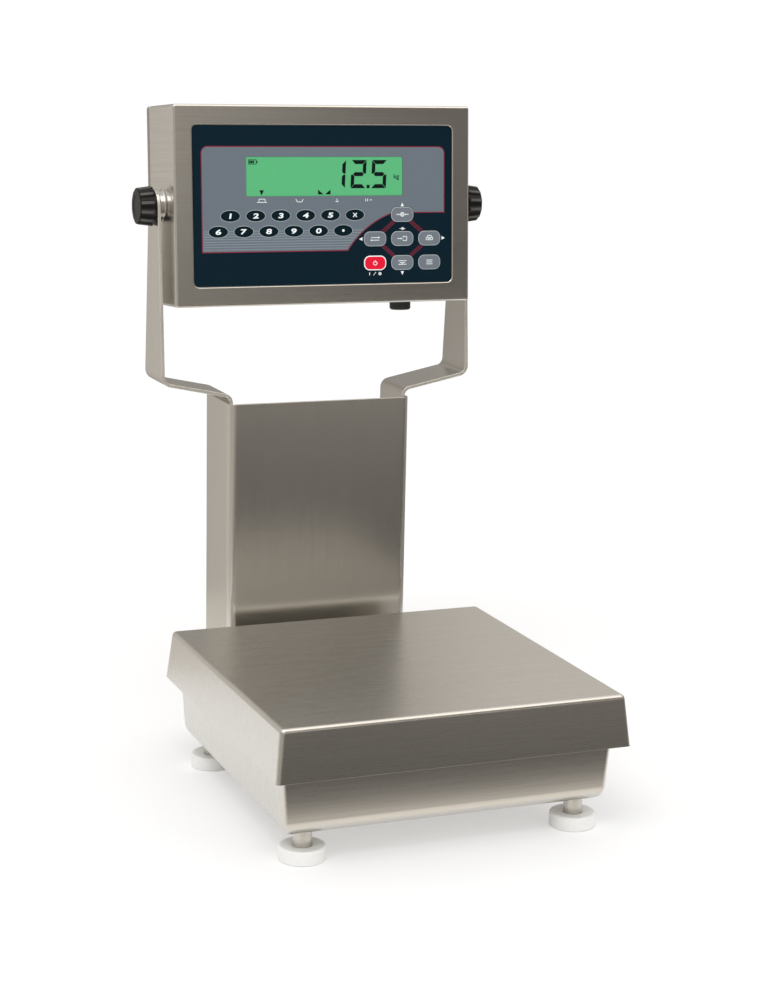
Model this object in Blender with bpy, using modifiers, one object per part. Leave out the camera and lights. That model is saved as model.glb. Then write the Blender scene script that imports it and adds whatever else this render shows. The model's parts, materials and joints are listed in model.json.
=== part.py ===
"""Bench scale: a stainless platter on a levelled base pan, with a column behind it that
carries a tilting indicator box between two bent arms.

Metres, +Z up, the front of the scale looks along -Y. Pieces are laid out from the floor
under the middle of the platter, and the last step moves the whole scale so that the origin
is on the floor under the middle of its overall box.
"""

import math

import bmesh
import bpy
from mathutils import Matrix, Vector

# clearances between pieces that touch or run in each other
SEAT_GAP = 0.0003
RUN_GAP = 0.0003
MERGE = 0.00001

# platter: an inverted pressed tray that lifts off four rubber buttons
PLATTER_WIDTH = 0.2570
PLATTER_LENGTH = 0.2593
PLATTER_TOP = 0.1026
PLATTER_SHEET = 0.0015
SKIRT_DROP = 0.0370
SKIRT_FLARE = 0.0040
PLATTER_EDGE_RADIUS = 0.0034
PLATTER_CORNER_RADIUS = 0.0027

# base pan: an open tub on four levelling feet, set in from the platter all round
PAN_INSET_X = 0.0040
PAN_INSET_Y = 0.0083
PAN_BOTTOM = 0.0208
PAN_HEIGHT = 0.0513
PAN_TAPER = 0.0030
PAN_SHEET = 0.0019
PAN_EDGE_RADIUS = 0.0120
PAN_CORNER_RADIUS = 0.0040
PAN_LIP = 0.0090

# levelling feet
FOOT_INSET_X = 0.0212
FOOT_INSET_Y = 0.0179
PAD_RADIUS = 0.0168
PAD_HEIGHT = 0.0105
PAD_ROUND = 0.0016
SOCKET_DEPTH = 0.0055
STEM_RADIUS = 0.0068
STEM_LENGTH = 0.0400
STEM_CHAMFER = 0.0008
FOOT_NUT_RADIUS = 0.0095
FOOT_NUT_HEIGHT = 0.0110
FOOT_NUT_SINK = 0.0001

# load cell and its two spacers, which lie along Y in the middle of the pan
CELL_LENGTH = 0.1300
CELL_WIDTH = 0.0300
CELL_HEIGHT = 0.0220
CELL_EDGE = 0.0006
FLEXURE_RADIUS = 0.0075
FLEXURE_PITCH = 0.0260
FLEXURE_SLOT = 0.0060
SPACER_LENGTH = 0.0340
LOWER_SPACER_HEIGHT = 0.0173
SPACER_EDGE = 0.0006

# platter frame: an H of two cross channels and a spine, open below, on the load cell
FRAME_INSET_X = 0.0165
FRAME_INSET_Y = 0.0216
RAIL_WIDTH = 0.0400
SPINE_WIDTH = 0.0600
FRAME_DEPTH = 0.0180
FRAME_SHEET = 0.0025
FRAME_CORNER_RADIUS = 0.0060
FRAME_EDGE_RADIUS = 0.0030

# rubber buttons in the ends of the frame's cross channels
BUTTON_RADIUS = 0.0095
BUTTON_HEIGHT = 0.0055
BUTTON_ROUND = 0.0015
BUTTON_NECK_RADIUS = 0.0045
BUTTON_NECK_DROP = 0.0030
BUTTON_FROM_END = 0.0140

# column: a channel that is open at the back and at the top
COLUMN_WIDTH = 0.1510
COLUMN_LENGTH = 0.0600
COLUMN_TOP = 0.2729
COLUMN_BOTTOM = 0.0290
COLUMN_SHEET = 0.0019
COLUMN_BEND_RADIUS = 0.0070
COLUMN_STAND_OFF = 0.0313

# bracket between the rear wall of the pan and the front wall of the column
BRACKET_WIDTH = 0.1100
BRACKET_SHEET = 0.0030
BRACKET_TOP = 0.0590
BRACKET_BOTTOM = 0.0360
BRACKET_BEND_RADIUS = 0.0045
BOLT_PITCH = 0.0700
BOLT_LEVEL = 0.0460
BOLT_RADIUS = 0.0030
BOLT_HEAD_RADIUS = 0.0058
BOLT_HEAD_HEIGHT = 0.0040
BOLT_THREAD = 0.0100

# indicator box, laid out from its tilt axis
BOX_WIDTH = 0.2413
BOX_HEIGHT = 0.1520
BOX_DEPTH = 0.0670
BOX_SHEET = 0.0015
BOX_EDGE_RADIUS = 0.0020
BOX_FLANGE = 0.0130
AXIS_BEHIND_FRONT = 0.0332
AXIS_HEIGHT = 0.4238
BOX_TILT = math.radians(3.6)

# front recess of the box, and the key panel in it
PANEL_BORDER_X = 0.01505
PANEL_BORDER_Z = 0.0154
PANEL_CORNER_RADIUS = 0.0030
PANEL_SETBACK = 0.0011
PANEL_THICKNESS = 0.0013
RECESS_RIM = 0.0040
RECESS_FLOOR = 0.0015

# display module and its window, measured from the middle of the panel
DISPLAY_WIDTH = 0.1276
DISPLAY_HEIGHT = 0.0296
DISPLAY_X = 0.0004
DISPLAY_Z = 0.0220
DISPLAY_SETBACK = 0.0003
DISPLAY_BORDER = 0.0050
DISPLAY_FLANGE = 0.0016
WINDOW_CORNER_RADIUS = 0.0012

# circuit board on four posts behind the recess
BOARD_INSET_X = 0.0076
BOARD_INSET_Z = 0.0066
BOARD_THICKNESS = 0.0016
BOARD_BEHIND_FLOOR = 0.0090
BOARD_CORNER_RADIUS = 0.0020
BOARD_HOLE_INSET = 0.0060
BOARD_HOLE_RADIUS = 0.0018
POST_RADIUS = 0.0032

# the window and the keys are laid out for a panel of this size, and stretch with the panel
LAYOUT_WIDTH = 0.2112
LAYOUT_HEIGHT = 0.1212

# keys: two rows of oval number keys and a cluster of seven rounded function keys
OVAL_WIDTH = 0.0148
OVAL_HEIGHT = 0.0080
OVAL_PITCH = 0.0202
OVALS_IN_ROW = 6
UPPER_ROW_INSET = 0.0291
UPPER_ROW_Z = -0.0076
LOWER_ROW_INSET = 0.0194
LOWER_ROW_Z = -0.0195
PILL_WIDTH = 0.0186
PILL_HEIGHT = 0.0114
PILL_CORNER_RADIUS = 0.0048
CLUSTER_INSET = 0.0415
CLUSTER_Z = -0.0263
CLUSTER_PITCH_X = 0.0229
CLUSTER_PITCH_Z = 0.0187
KEY_THICKNESS = 0.0010
KEY_PROUD = 0.00015
KEY_GAP = 0.00025
KEY_ROUND = 0.0002

# back of the box
LID_DEPTH = 0.0060
LID_SHEET = 0.0015
LID_CORNER_RADIUS = 0.0020
GASKET_WIDTH = 0.0100
SCREW_INSET = 0.0065
SCREW_RADIUS = 0.0017
SCREW_HEAD_RADIUS = 0.0036
SCREW_HEAD_HEIGHT = 0.0022
SCREW_HEAD_ROUND = 0.0018
SCREW_LENGTH = 0.0100

# cord grip under the box
GRIP_X = 0.0750
GRIP_RADIUS = 0.0084
GRIP_DROP = 0.0080
GRIP_ROUND = 0.0020
GRIP_NECK_RADIUS = 0.0060
GRIP_NUT_RADIUS = 0.0092
GRIP_NUT_HEIGHT = 0.0040
GRIP_BORE_RADIUS = 0.0030
GRIP_BORE_DEPTH = 0.0060

# arms: bent flat bar from inside the column up to the tilt axis
ARM_SHEET = 0.0027
BOSS_LENGTH = 0.00435
ARM_WIDTH = 0.0472
ARM_TIP_RADIUS = 0.0130
ARM_TAB_LENGTH = 0.0420
ARM_RISE_ANGLE = math.radians(11.8)
ARM_LOWER_BEND_RADIUS = 0.0052
ARM_UPPER_BEND_RADIUS = 0.0085

# tilt pivots: a boss on each side of the box, and a knob on a stud through the arm
BOSS_RADIUS = 0.0120
STUD_RADIUS = 0.0030
STUD_REACH = 0.0160
WASHER_RADIUS = 0.0085
WASHER_THICKNESS = 0.0008
KNOB_RADIUS = 0.0153
KNOB_FACE_RADIUS = 0.0138
KNOB_LENGTH = 0.0117
KNOB_FLUTES = 12
KNOB_FLUTE_WIDTH = 0.0042
KNOB_FLUTE_DEPTH = 0.0017
KNOB_CHAMFER = 0.0008
KNOB_CAP_RADIUS = 0.0088
KNOB_CAP_HEIGHT = 0.0004

ROUND_STEPS = 20
SMALL_ROUND_STEPS = 14

STEEL = (0.55, 0.54, 0.50)
PALE_STEEL = (0.62, 0.61, 0.58)
ALUMINIUM = (0.70, 0.71, 0.72)

# sizes, levels and places that follow from the values above
PAN_WIDTH = PLATTER_WIDTH - 2 * PAN_INSET_X
PAN_LENGTH = PLATTER_LENGTH - 2 * PAN_INSET_Y
FRAME_HALF_RAIL = PLATTER_WIDTH / 2 - FRAME_INSET_X
FRAME_HALF_SPINE = SPINE_WIDTH / 2
RAIL_OUTER = PLATTER_LENGTH / 2 - FRAME_INSET_Y
RAIL_INNER = RAIL_OUTER - RAIL_WIDTH
PANEL_WIDTH = BOX_WIDTH - 2 * PANEL_BORDER_X
PANEL_HEIGHT = BOX_HEIGHT - 2 * PANEL_BORDER_Z
BOARD_WIDTH = PANEL_WIDTH - 2 * BOARD_INSET_X
BOARD_HEIGHT = PANEL_HEIGHT - 2 * BOARD_INSET_Z
STRETCH_X = PANEL_WIDTH / LAYOUT_WIDTH
STRETCH_Z = PANEL_HEIGHT / LAYOUT_HEIGHT
GLASS_WIDTH = DISPLAY_WIDTH * STRETCH_X
GLASS_HEIGHT = DISPLAY_HEIGHT * STRETCH_Z
GLASS_X = DISPLAY_X * STRETCH_X
GLASS_Z = DISPLAY_Z * STRETCH_Z
UPPER_ROW_X = UPPER_ROW_INSET - LAYOUT_WIDTH / 2
LOWER_ROW_X = LOWER_ROW_INSET - LAYOUT_WIDTH / 2
CLUSTER_X = LAYOUT_WIDTH / 2 - CLUSTER_INSET
PAN_FLOOR = PAN_BOTTOM + PAN_SHEET
CELL_BOTTOM = PAN_FLOOR + SEAT_GAP + LOWER_SPACER_HEIGHT + SEAT_GAP
CELL_TOP = CELL_BOTTOM + CELL_HEIGHT
BUTTON_TOP = PLATTER_TOP - PLATTER_SHEET - SEAT_GAP
BUTTON_SEAT = BUTTON_TOP - BUTTON_HEIGHT
FRAME_TOP = BUTTON_SEAT - SEAT_GAP
PAN_REAR = PAN_LENGTH / 2
PAN_WALL = PAN_SHEET * math.hypot(PAN_TAPER, PAN_HEIGHT) / PAN_HEIGHT
COLUMN_FRONT = PAN_REAR + COLUMN_STAND_OFF
AXIS_Y = COLUMN_FRONT + COLUMN_LENGTH / 2
BOX_FRONT = -AXIS_BEHIND_FRONT
BOX_BACK = BOX_FRONT + BOX_DEPTH
PANEL_FRONT = BOX_FRONT + PANEL_SETBACK
PANEL_BACK = PANEL_FRONT + PANEL_THICKNESS
FLOOR_FRONT = PANEL_BACK + SEAT_GAP
FLOOR_BACK = FLOOR_FRONT + RECESS_FLOOR
BOARD_FRONT = FLOOR_BACK + BOARD_BEHIND_FLOOR
LID_FRONT = BOX_BACK + SEAT_GAP
LID_BACK = LID_FRONT + LID_DEPTH
LID_FLOOR = LID_BACK - LID_SHEET
FOOT_X = PAN_WIDTH / 2 - FOOT_INSET_X
FOOT_Y = PAN_LENGTH / 2 - FOOT_INSET_Y
SPACER_Y = (CELL_LENGTH - SPACER_LENGTH) / 2
ARM_INNER = BOX_WIDTH / 2 + BOSS_LENGTH + SEAT_GAP
ARM_OUTER = ARM_INNER + ARM_SHEET
ARM_TAB_FACE = COLUMN_WIDTH / 2 - COLUMN_SHEET - SEAT_GAP
BEND_REACH = math.tan((math.pi / 2 - ARM_RISE_ANGLE) / 2)
ARM_LOWER_CORNER = COLUMN_TOP + ARM_LOWER_BEND_RADIUS * BEND_REACH
ARM_UPPER_CORNER = ARM_LOWER_CORNER + (ARM_OUTER - ARM_TAB_FACE) * math.tan(ARM_RISE_ANGLE)


def clear_scene():
    for old in list(bpy.data.objects):
        bpy.data.objects.remove(old, do_unlink=True)


def collection(name):
    made = bpy.data.collections.new(name)
    bpy.context.scene.collection.children.link(made)
    return made


def material(name, colour, roughness, metallic):
    made = bpy.data.materials.new(name)
    made.use_nodes = True
    shader = made.node_tree.nodes["Principled BSDF"]
    shader.inputs["Base Color"].default_value = (*colour, 1.0)
    shader.inputs["Roughness"].default_value = roughness
    shader.inputs["Metallic"].default_value = metallic
    return made


def empty(name, place, turn=(0.0, 0.0, 0.0), parent=None):
    made = bpy.data.objects.new(name, None)
    made.empty_display_size = 0.02
    made.location = place
    made.rotation_euler = turn
    made.parent = parent
    PARTS.objects.link(made)
    return made


def mesh_from(bm, name):
    bmesh.ops.recalc_face_normals(bm, faces=bm.faces)
    mesh = bpy.data.meshes.new(name)
    bm.to_mesh(mesh)
    bm.free()
    return mesh


def piece(name, mesh, finish, place=(0.0, 0.0, 0.0), parent=None, smooth=False):
    colour, roughness, metallic = finish
    mesh.materials.append(material(name, colour, roughness, metallic))
    if smooth:
        mesh.shade_smooth()
        mesh.set_sharp_from_angle(angle=math.radians(35))
    made = bpy.data.objects.new(name, mesh)
    made.location = place
    made.parent = parent or ORIGIN
    PARTS.objects.link(made)
    return made


def cutter(owner, mesh, operation="DIFFERENCE"):
    """Adds a Boolean to the owner, whose tool sits in the owner's own frame."""
    count = len([m for m in owner.modifiers if m.type == "BOOLEAN"]) + 1
    tool = bpy.data.objects.new(f"{owner.name}_tool_{count}", mesh)
    tool.parent = owner
    tool.hide_render = True
    tool.display_type = "WIRE"
    CUTTERS.objects.link(tool)
    boolean = owner.modifiers.new(f"{operation.lower()}_{count}", "BOOLEAN")
    boolean.operation = operation
    boolean.solver = "EXACT"
    boolean.object = tool
    return tool


def thicken(owner, sheet, offset=-1.0):
    shell = owner.modifiers.new("sheet", "SOLIDIFY")
    shell.thickness = sheet
    shell.offset = offset
    shell.use_even_offset = True
    shell.use_quality_normals = True


def box(size, centre=(0.0, 0.0, 0.0), bevel=0.0, segments=2):
    bm = bmesh.new()
    bmesh.ops.create_cube(bm, size=1.0)
    bmesh.ops.scale(bm, vec=size, verts=bm.verts)
    bmesh.ops.translate(bm, vec=centre, verts=bm.verts)
    if bevel:
        bmesh.ops.bevel(bm, geom=bm.edges[:], offset=bevel, segments=segments,
                        profile=0.5, affect="EDGES", clamp_overlap=True)
    return mesh_from(bm, "box")


def rod(radius, start, end, axis="Z", steps=SMALL_ROUND_STEPS):
    """A plain round rod about the X, Y or Z axis through the piece's own origin."""
    bm = bmesh.new()
    bmesh.ops.create_cone(bm, cap_ends=True, segments=steps, radius1=radius,
                          radius2=radius, depth=end - start)
    bmesh.ops.translate(bm, vec=(0.0, 0.0, (start + end) / 2), verts=bm.verts)
    turn = {"X": Matrix.Rotation(math.pi / 2, 3, "Y"),
            "Y": Matrix.Rotation(-math.pi / 2, 3, "X"),
            "Z": Matrix.Identity(3)}[axis]
    bmesh.ops.rotate(bm, matrix=turn, verts=bm.verts)
    return mesh_from(bm, "rod")


def shifted(mesh, offset):
    mesh.transform(Matrix.Translation(offset))
    return mesh


def plate(outline, start, end, across="Y", edge=0.0):
    """A flat plate across an axis, from start to end, whose rim at start may be chamfered.

    Its outline is points in the plane of the other two axes, in the order X, Y, Z.
    """
    curve = bpy.data.curves.new("plate", "CURVE")
    curve.dimensions = "2D"
    curve.fill_mode = "BOTH"
    curve.extrude = abs(end - start) / 2
    line = curve.splines.new("POLY")
    line.points.add(len(outline) - 1)
    for point, (u, v) in zip(line.points, outline):
        point.co = (u, v, 0.0, 1.0)
    line.use_cyclic_u = True
    flat = bpy.data.objects.new("plate", curve)
    bpy.context.scene.collection.objects.link(flat)
    graph = bpy.context.evaluated_depsgraph_get()
    mesh = bpy.data.meshes.new_from_object(flat.evaluated_get(graph))
    bpy.data.objects.remove(flat, do_unlink=True)
    bm = bmesh.new()
    bm.from_mesh(mesh)
    bmesh.ops.remove_doubles(bm, verts=bm.verts, dist=MERGE)
    for side in (-1, 1):
        cap = [f for f in bm.faces if all(side * v.co.z > MERGE for v in f.verts)]
        bmesh.ops.dissolve_faces(bm, faces=cap)
    if edge:
        side = math.copysign(1.0, start - end) * (-1.0 if across == "Y" else 1.0)
        rim = [e for e in bm.edges if all(side * v.co.z > MERGE for v in e.verts)]
        bmesh.ops.bevel(bm, geom=rim, offset=edge, segments=1, affect="EDGES")
    turn = {"X": Matrix(((0, 0, 1), (1, 0, 0), (0, 1, 0))),
            "Y": Matrix(((1, 0, 0), (0, 0, -1), (0, 1, 0))),
            "Z": Matrix.Identity(3)}[across]
    bmesh.ops.rotate(bm, matrix=turn, verts=bm.verts)
    middle = Vector([(start + end) / 2 if axis == across else 0.0 for axis in "XYZ"])
    bmesh.ops.translate(bm, vec=middle, verts=bm.verts)
    return mesh_from(bm, "plate")


def rounded_outline(width, height, radius, centre=(0.0, 0.0), steps=3):
    """A rectangle with round corners, as points that run once round it."""
    points = []
    for quarter, (sx, sz) in enumerate(((1, 1), (-1, 1), (-1, -1), (1, -1))):
        middle = (centre[0] + sx * (width / 2 - radius), centre[1] + sz * (height / 2 - radius))
        for step in range(steps + 1):
            angle = math.pi / 2 * (quarter + step / steps)
            points.append((middle[0] + radius * math.cos(angle),
                           middle[1] + radius * math.sin(angle)))
    return points


def oval_outline(width, height, centre=(0.0, 0.0), steps=16):
    points = []
    for step in range(steps):
        angle = 2 * math.pi * step / steps
        points.append((centre[0] + width / 2 * math.cos(angle),
                       centre[1] + height / 2 * math.sin(angle)))
    return points


def turned(name, profile, finish, place, parent=None, axis="Z", steps=ROUND_STEPS):
    """A turned piece. The profile is (radius, level) points down the outer side."""
    along = {"X": lambda r, z: (z, 0.0, r), "Z": lambda r, z: (r, 0.0, z)}[axis]
    mesh = bpy.data.meshes.new(name)
    edges = [(i, i + 1) for i in range(len(profile) - 1)]
    mesh.from_pydata([along(r, z) for r, z in profile], edges, [])
    made = piece(name, mesh, finish, place, parent)
    screw = made.modifiers.new("turned", "SCREW")
    screw.axis = axis
    screw.angle = 2 * math.pi
    screw.steps = steps
    screw.render_steps = steps
    screw.use_merge_vertices = True
    screw.merge_threshold = MERGE
    screw.use_smooth_shade = True
    return made


def quarter_round(radius, level, fillet, steps=2):
    """Profile points of a rounded rim, from the flat top over to the outer side."""
    points = []
    for step in range(steps + 1):
        angle = math.pi / 2 * (1 - step / steps)
        points.append((radius - fillet + fillet * math.cos(angle),
                       level - fillet + fillet * math.sin(angle)))
    return points


def rounded_path(corners, steps=5):
    """A bent sheet's line: straight runs, with an arc of the given radius at each corner."""
    points = [Vector(corners[0][:2])]
    for (before, here, after) in zip(corners, corners[1:], corners[2:]):
        corner = Vector(here[:2])
        radius = here[2]
        back = (Vector(before[:2]) - corner).normalized()
        ahead = (Vector(after[:2]) - corner).normalized()
        half = back.angle(ahead) / 2
        reach = radius / math.tan(half)
        centre = corner + (back + ahead).normalized() * radius / math.sin(half)
        first = corner + back * reach - centre
        last = corner + ahead * reach - centre
        sweep = first.angle_signed(last)
        for step in range(steps + 1):
            turn = Matrix.Rotation(-sweep * step / steps, 2)
            points.append(centre + turn @ first)
    points.append(Vector(corners[-1][:2]))
    return points


def folded_sheet(path, place_point, offset):
    """An open surface: a line swept along one axis. place_point makes (u, v) a 3-D point."""
    bm = bmesh.new()
    line = [bm.verts.new(place_point(u, v)) for u, v in path]
    edges = [bm.edges.new(pair) for pair in zip(line, line[1:])]
    grown = bmesh.ops.extrude_edge_only(bm, edges=edges)
    moved = [g for g in grown["geom"] if isinstance(g, bmesh.types.BMVert)]
    bmesh.ops.translate(bm, vec=offset, verts=moved)
    mesh = bpy.data.meshes.new("sheet")
    bm.to_mesh(mesh)
    bm.free()
    return mesh


def pressed_tray(width, length, height, taper, bend, corner, open_up):
    """An open tray of one surface: a tapered box without its open face, bends rounded.

    The closed face lies at z = 0. The taper is how far each wall leans out towards the rim.
    """
    sign = 1.0 if open_up else -1.0
    bm = bmesh.new()
    bmesh.ops.create_cube(bm, size=1.0)
    for vert in bm.verts:
        at_rim = (vert.co.z > 0) == open_up
        grow = taper if at_rim else 0.0
        vert.co.x = math.copysign(width / 2 + grow, vert.co.x)
        vert.co.y = math.copysign(length / 2 + grow, vert.co.y)
        vert.co.z = sign * height if at_rim else 0.0
    rim_face = max(bm.faces, key=lambda f: sign * f.calc_center_median().z)
    bmesh.ops.delete(bm, geom=[rim_face], context="FACES_ONLY")
    closed = [e for e in bm.edges if all(abs(v.co.z) < MERGE for v in e.verts)]
    bmesh.ops.bevel(bm, geom=closed, offset=bend, segments=5, profile=0.5, affect="EDGES")
    mitres = []
    for edge in bm.edges:
        if len(edge.link_faces) == 2:
            first, second = [f.normal for f in edge.link_faces]
            if abs(first.x * second.y) > 0.001 and abs(first.y) + abs(second.x) < 0.001:
                mitres.append(edge)
            elif abs(first.y * second.x) > 0.001 and abs(first.x) + abs(second.y) < 0.001:
                mitres.append(edge)
    bmesh.ops.bevel(bm, geom=mitres, offset=corner, segments=3, profile=0.5, affect="EDGES",
                    offset_type="OFFSET")
    return mesh_from(bm, "tray")


def build_platter():
    tray = pressed_tray(PLATTER_WIDTH, PLATTER_LENGTH, SKIRT_DROP, SKIRT_FLARE,
                        PLATTER_EDGE_RADIUS, PLATTER_CORNER_RADIUS, open_up=False)
    platter = piece("platter", tray, (STEEL, 0.30, 1.0), (0.0, 0.0, PLATTER_TOP), smooth=True)
    thicken(platter, PLATTER_SHEET)


def foot_places():
    return [("front_left", -FOOT_X, -FOOT_Y), ("front_right", FOOT_X, -FOOT_Y),
            ("rear_left", -FOOT_X, FOOT_Y), ("rear_right", FOOT_X, FOOT_Y)]


def bolt_places():
    return [("left", -BOLT_PITCH / 2), ("right", BOLT_PITCH / 2)]


def build_base_pan():
    """The tub, with a turned-in lip, a welded nut over each foot and two bolt holes."""
    tray = pressed_tray(PAN_WIDTH - 2 * PAN_TAPER, PAN_LENGTH - 2 * PAN_TAPER, PAN_HEIGHT,
                        PAN_TAPER, PAN_EDGE_RADIUS, PAN_CORNER_RADIUS, open_up=True)
    bm = bmesh.new()
    bm.from_mesh(tray)
    rim = [e for e in bm.edges if e.is_boundary]
    grown = bmesh.ops.extrude_edge_only(bm, edges=rim)
    lip = [g for g in grown["geom"] if isinstance(g, bmesh.types.BMVert)]
    for vert in lip:
        vert.co.x *= (PAN_WIDTH / 2 - PAN_LIP) / (PAN_WIDTH / 2)
        vert.co.y *= (PAN_LENGTH / 2 - PAN_LIP) / (PAN_LENGTH / 2)
    bmesh.ops.recalc_face_normals(bm, faces=bm.faces)
    bm.to_mesh(tray)
    bm.free()
    pan = piece("base_pan", tray, (PALE_STEEL, 0.35, 1.0), (0.0, 0.0, PAN_BOTTOM), smooth=True)
    thicken(pan, PAN_SHEET)
    for _, x, y in foot_places():
        nut = rod(FOOT_NUT_RADIUS, PAN_SHEET - FOOT_NUT_SINK, PAN_SHEET + FOOT_NUT_HEIGHT,
                  steps=ROUND_STEPS)
        cutter(pan, shifted(nut, (x, y, 0.0)), "UNION")
    for _, x, y in foot_places():
        hole = rod(STEM_RADIUS + RUN_GAP, -PAN_SHEET, PAN_SHEET * 2 + FOOT_NUT_HEIGHT,
                   steps=ROUND_STEPS)
        cutter(pan, shifted(hole, (x, y, 0.0)))
    for _, x in bolt_places():
        hole = rod(BOLT_RADIUS + RUN_GAP, PAN_REAR - 3 * PAN_TAPER - 2 * PAN_SHEET,
                   PAN_REAR + PAN_SHEET, "Y")
        cutter(pan, shifted(hole, (x, 0.0, BOLT_LEVEL - PAN_BOTTOM)))


def build_feet():
    """Each foot is a nylon pad with a steel stem that screws up into the pan's nut."""
    for corner, x, y in foot_places():
        socket_floor = PAD_HEIGHT - SOCKET_DEPTH
        rim = quarter_round(PAD_RADIUS, PAD_HEIGHT, PAD_ROUND)
        pad = [(0.0, socket_floor), (STEM_RADIUS + RUN_GAP, socket_floor),
               (STEM_RADIUS + RUN_GAP, PAD_HEIGHT), *rim,
               (PAD_RADIUS, PAD_ROUND), (PAD_RADIUS - PAD_ROUND, 0.0), (0.0, 0.0)]
        turned(f"foot_pad_{corner}", pad, ((0.90, 0.90, 0.87), 0.55, 0.0), (x, y, 0.0))
        low = socket_floor + SEAT_GAP
        high = low + STEM_LENGTH
        inset = STEM_RADIUS - STEM_CHAMFER
        stem = [(0.0, high), (inset, high), (STEM_RADIUS, high - STEM_CHAMFER),
                (STEM_RADIUS, low + STEM_CHAMFER), (inset, low), (0.0, low)]
        turned(f"foot_stem_{corner}", stem, (STEEL, 0.30, 1.0), (x, y, 0.0))


def build_load_cell():
    """A bending beam with two joined bores through its waist, between two spacers."""
    cell = piece("load_cell", box((CELL_WIDTH, CELL_LENGTH, CELL_HEIGHT), bevel=CELL_EDGE,
                                  segments=1),
                 (ALUMINIUM, 0.35, 1.0), (0.0, 0.0, CELL_BOTTOM + CELL_HEIGHT / 2))
    for side in (-1, 1):
        bore = rod(FLEXURE_RADIUS, -CELL_WIDTH, CELL_WIDTH, "X", steps=ROUND_STEPS)
        cutter(cell, shifted(bore, (0.0, side * FLEXURE_PITCH / 2, 0.0)))
    cutter(cell, box((2 * CELL_WIDTH, FLEXURE_PITCH, FLEXURE_SLOT)))
    lower_size = (CELL_WIDTH, SPACER_LENGTH, LOWER_SPACER_HEIGHT)
    piece("cell_lower_spacer", box(lower_size, bevel=SPACER_EDGE, segments=1),
          (STEEL, 0.4, 1.0), (0.0, -SPACER_Y, PAN_FLOOR + SEAT_GAP + LOWER_SPACER_HEIGHT / 2))
    low = CELL_TOP + SEAT_GAP
    high = FRAME_TOP - FRAME_SHEET - SEAT_GAP
    piece("cell_upper_spacer", box((CELL_WIDTH, SPACER_LENGTH, high - low), bevel=SPACER_EDGE,
                                   segments=1),
          (STEEL, 0.4, 1.0), (0.0, SPACER_Y, (low + high) / 2))


def build_platter_frame():
    """The H frame: its outline pulled down into a shell that is open below."""
    quarter = [(FRAME_HALF_RAIL, RAIL_INNER), (FRAME_HALF_RAIL, RAIL_OUTER)]
    right = [(FRAME_HALF_SPINE, RAIL_INNER), *quarter]
    upper = right + [(-x, y) for x, y in reversed(right)]
    outline = upper + [(-x, -y) for x, y in upper]
    bm = bmesh.new()
    bm.from_mesh(plate(outline, -FRAME_DEPTH, 0.0, "Z"))
    under = [f for f in bm.faces if all(v.co.z < -FRAME_DEPTH / 2 for v in f.verts)]
    bmesh.ops.delete(bm, geom=under, context="FACES")
    upright = [e for e in bm.edges if abs(e.verts[0].co.z - e.verts[1].co.z) > MERGE]
    bmesh.ops.bevel(bm, geom=upright, offset=FRAME_CORNER_RADIUS, segments=2, profile=0.5,
                    affect="EDGES")
    rim = [e for e in bm.edges if all(abs(v.co.z) < MERGE for v in e.verts)]
    bmesh.ops.bevel(bm, geom=rim, offset=FRAME_EDGE_RADIUS, segments=2, profile=0.5,
                    affect="EDGES")
    frame = piece("platter_frame", mesh_from(bm, "frame"), (STEEL, 0.45, 1.0),
                  (0.0, 0.0, FRAME_TOP), smooth=True)
    thicken(frame, FRAME_SHEET)
    button_x = FRAME_HALF_RAIL - BUTTON_FROM_END
    button_y = (RAIL_INNER + RAIL_OUTER) / 2
    for end, sy in (("front", -1), ("rear", 1)):
        for side, sx in (("left", -1), ("right", 1)):
            hole = rod(BUTTON_NECK_RADIUS + RUN_GAP, -3 * FRAME_SHEET, FRAME_SHEET)
            cutter(frame, shifted(hole, (sx * button_x, sy * button_y, 0.0)))
            top_level = BUTTON_TOP - BUTTON_SEAT
            neck = -SEAT_GAP - FRAME_SHEET - BUTTON_NECK_DROP
            profile = [(0.0, top_level), *quarter_round(BUTTON_RADIUS, top_level, BUTTON_ROUND),
                       (BUTTON_RADIUS, 0.0), (BUTTON_NECK_RADIUS, 0.0),
                       (BUTTON_NECK_RADIUS, neck), (0.0, neck)]
            turned(f"button_{end}_{side}", profile, ((0.03, 0.03, 0.03), 0.8, 0.0),
                   (sx * button_x, sy * button_y, BUTTON_SEAT), steps=SMALL_ROUND_STEPS)


def build_column():
    """The channel: two side walls and a front wall with wide bends, and two bolt holes."""
    half = COLUMN_WIDTH / 2
    path = rounded_path([(-half, COLUMN_LENGTH), (-half, 0.0, COLUMN_BEND_RADIUS),
                         (half, 0.0, COLUMN_BEND_RADIUS), (half, COLUMN_LENGTH)])
    height = COLUMN_TOP - COLUMN_BOTTOM
    sheet = folded_sheet(path, lambda x, y: (x, y, 0.0), (0.0, 0.0, height))
    column = piece("column", sheet, (STEEL, 0.30, 1.0), (0.0, COLUMN_FRONT, COLUMN_BOTTOM),
                   smooth=True)
    thicken(column, COLUMN_SHEET, 1.0)
    for _, x in bolt_places():
        hole = rod(BOLT_RADIUS + RUN_GAP, -COLUMN_SHEET, 2 * COLUMN_SHEET, "Y")
        cutter(column, shifted(hole, (x, 0.0, BOLT_LEVEL - COLUMN_BOTTOM)))


def pan_rear_at(level):
    """Y of the outer face of the pan's leaning rear wall at a level above the floor."""
    return PAN_REAR - PAN_TAPER * (1 - (level - PAN_BOTTOM) / PAN_HEIGHT)


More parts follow.
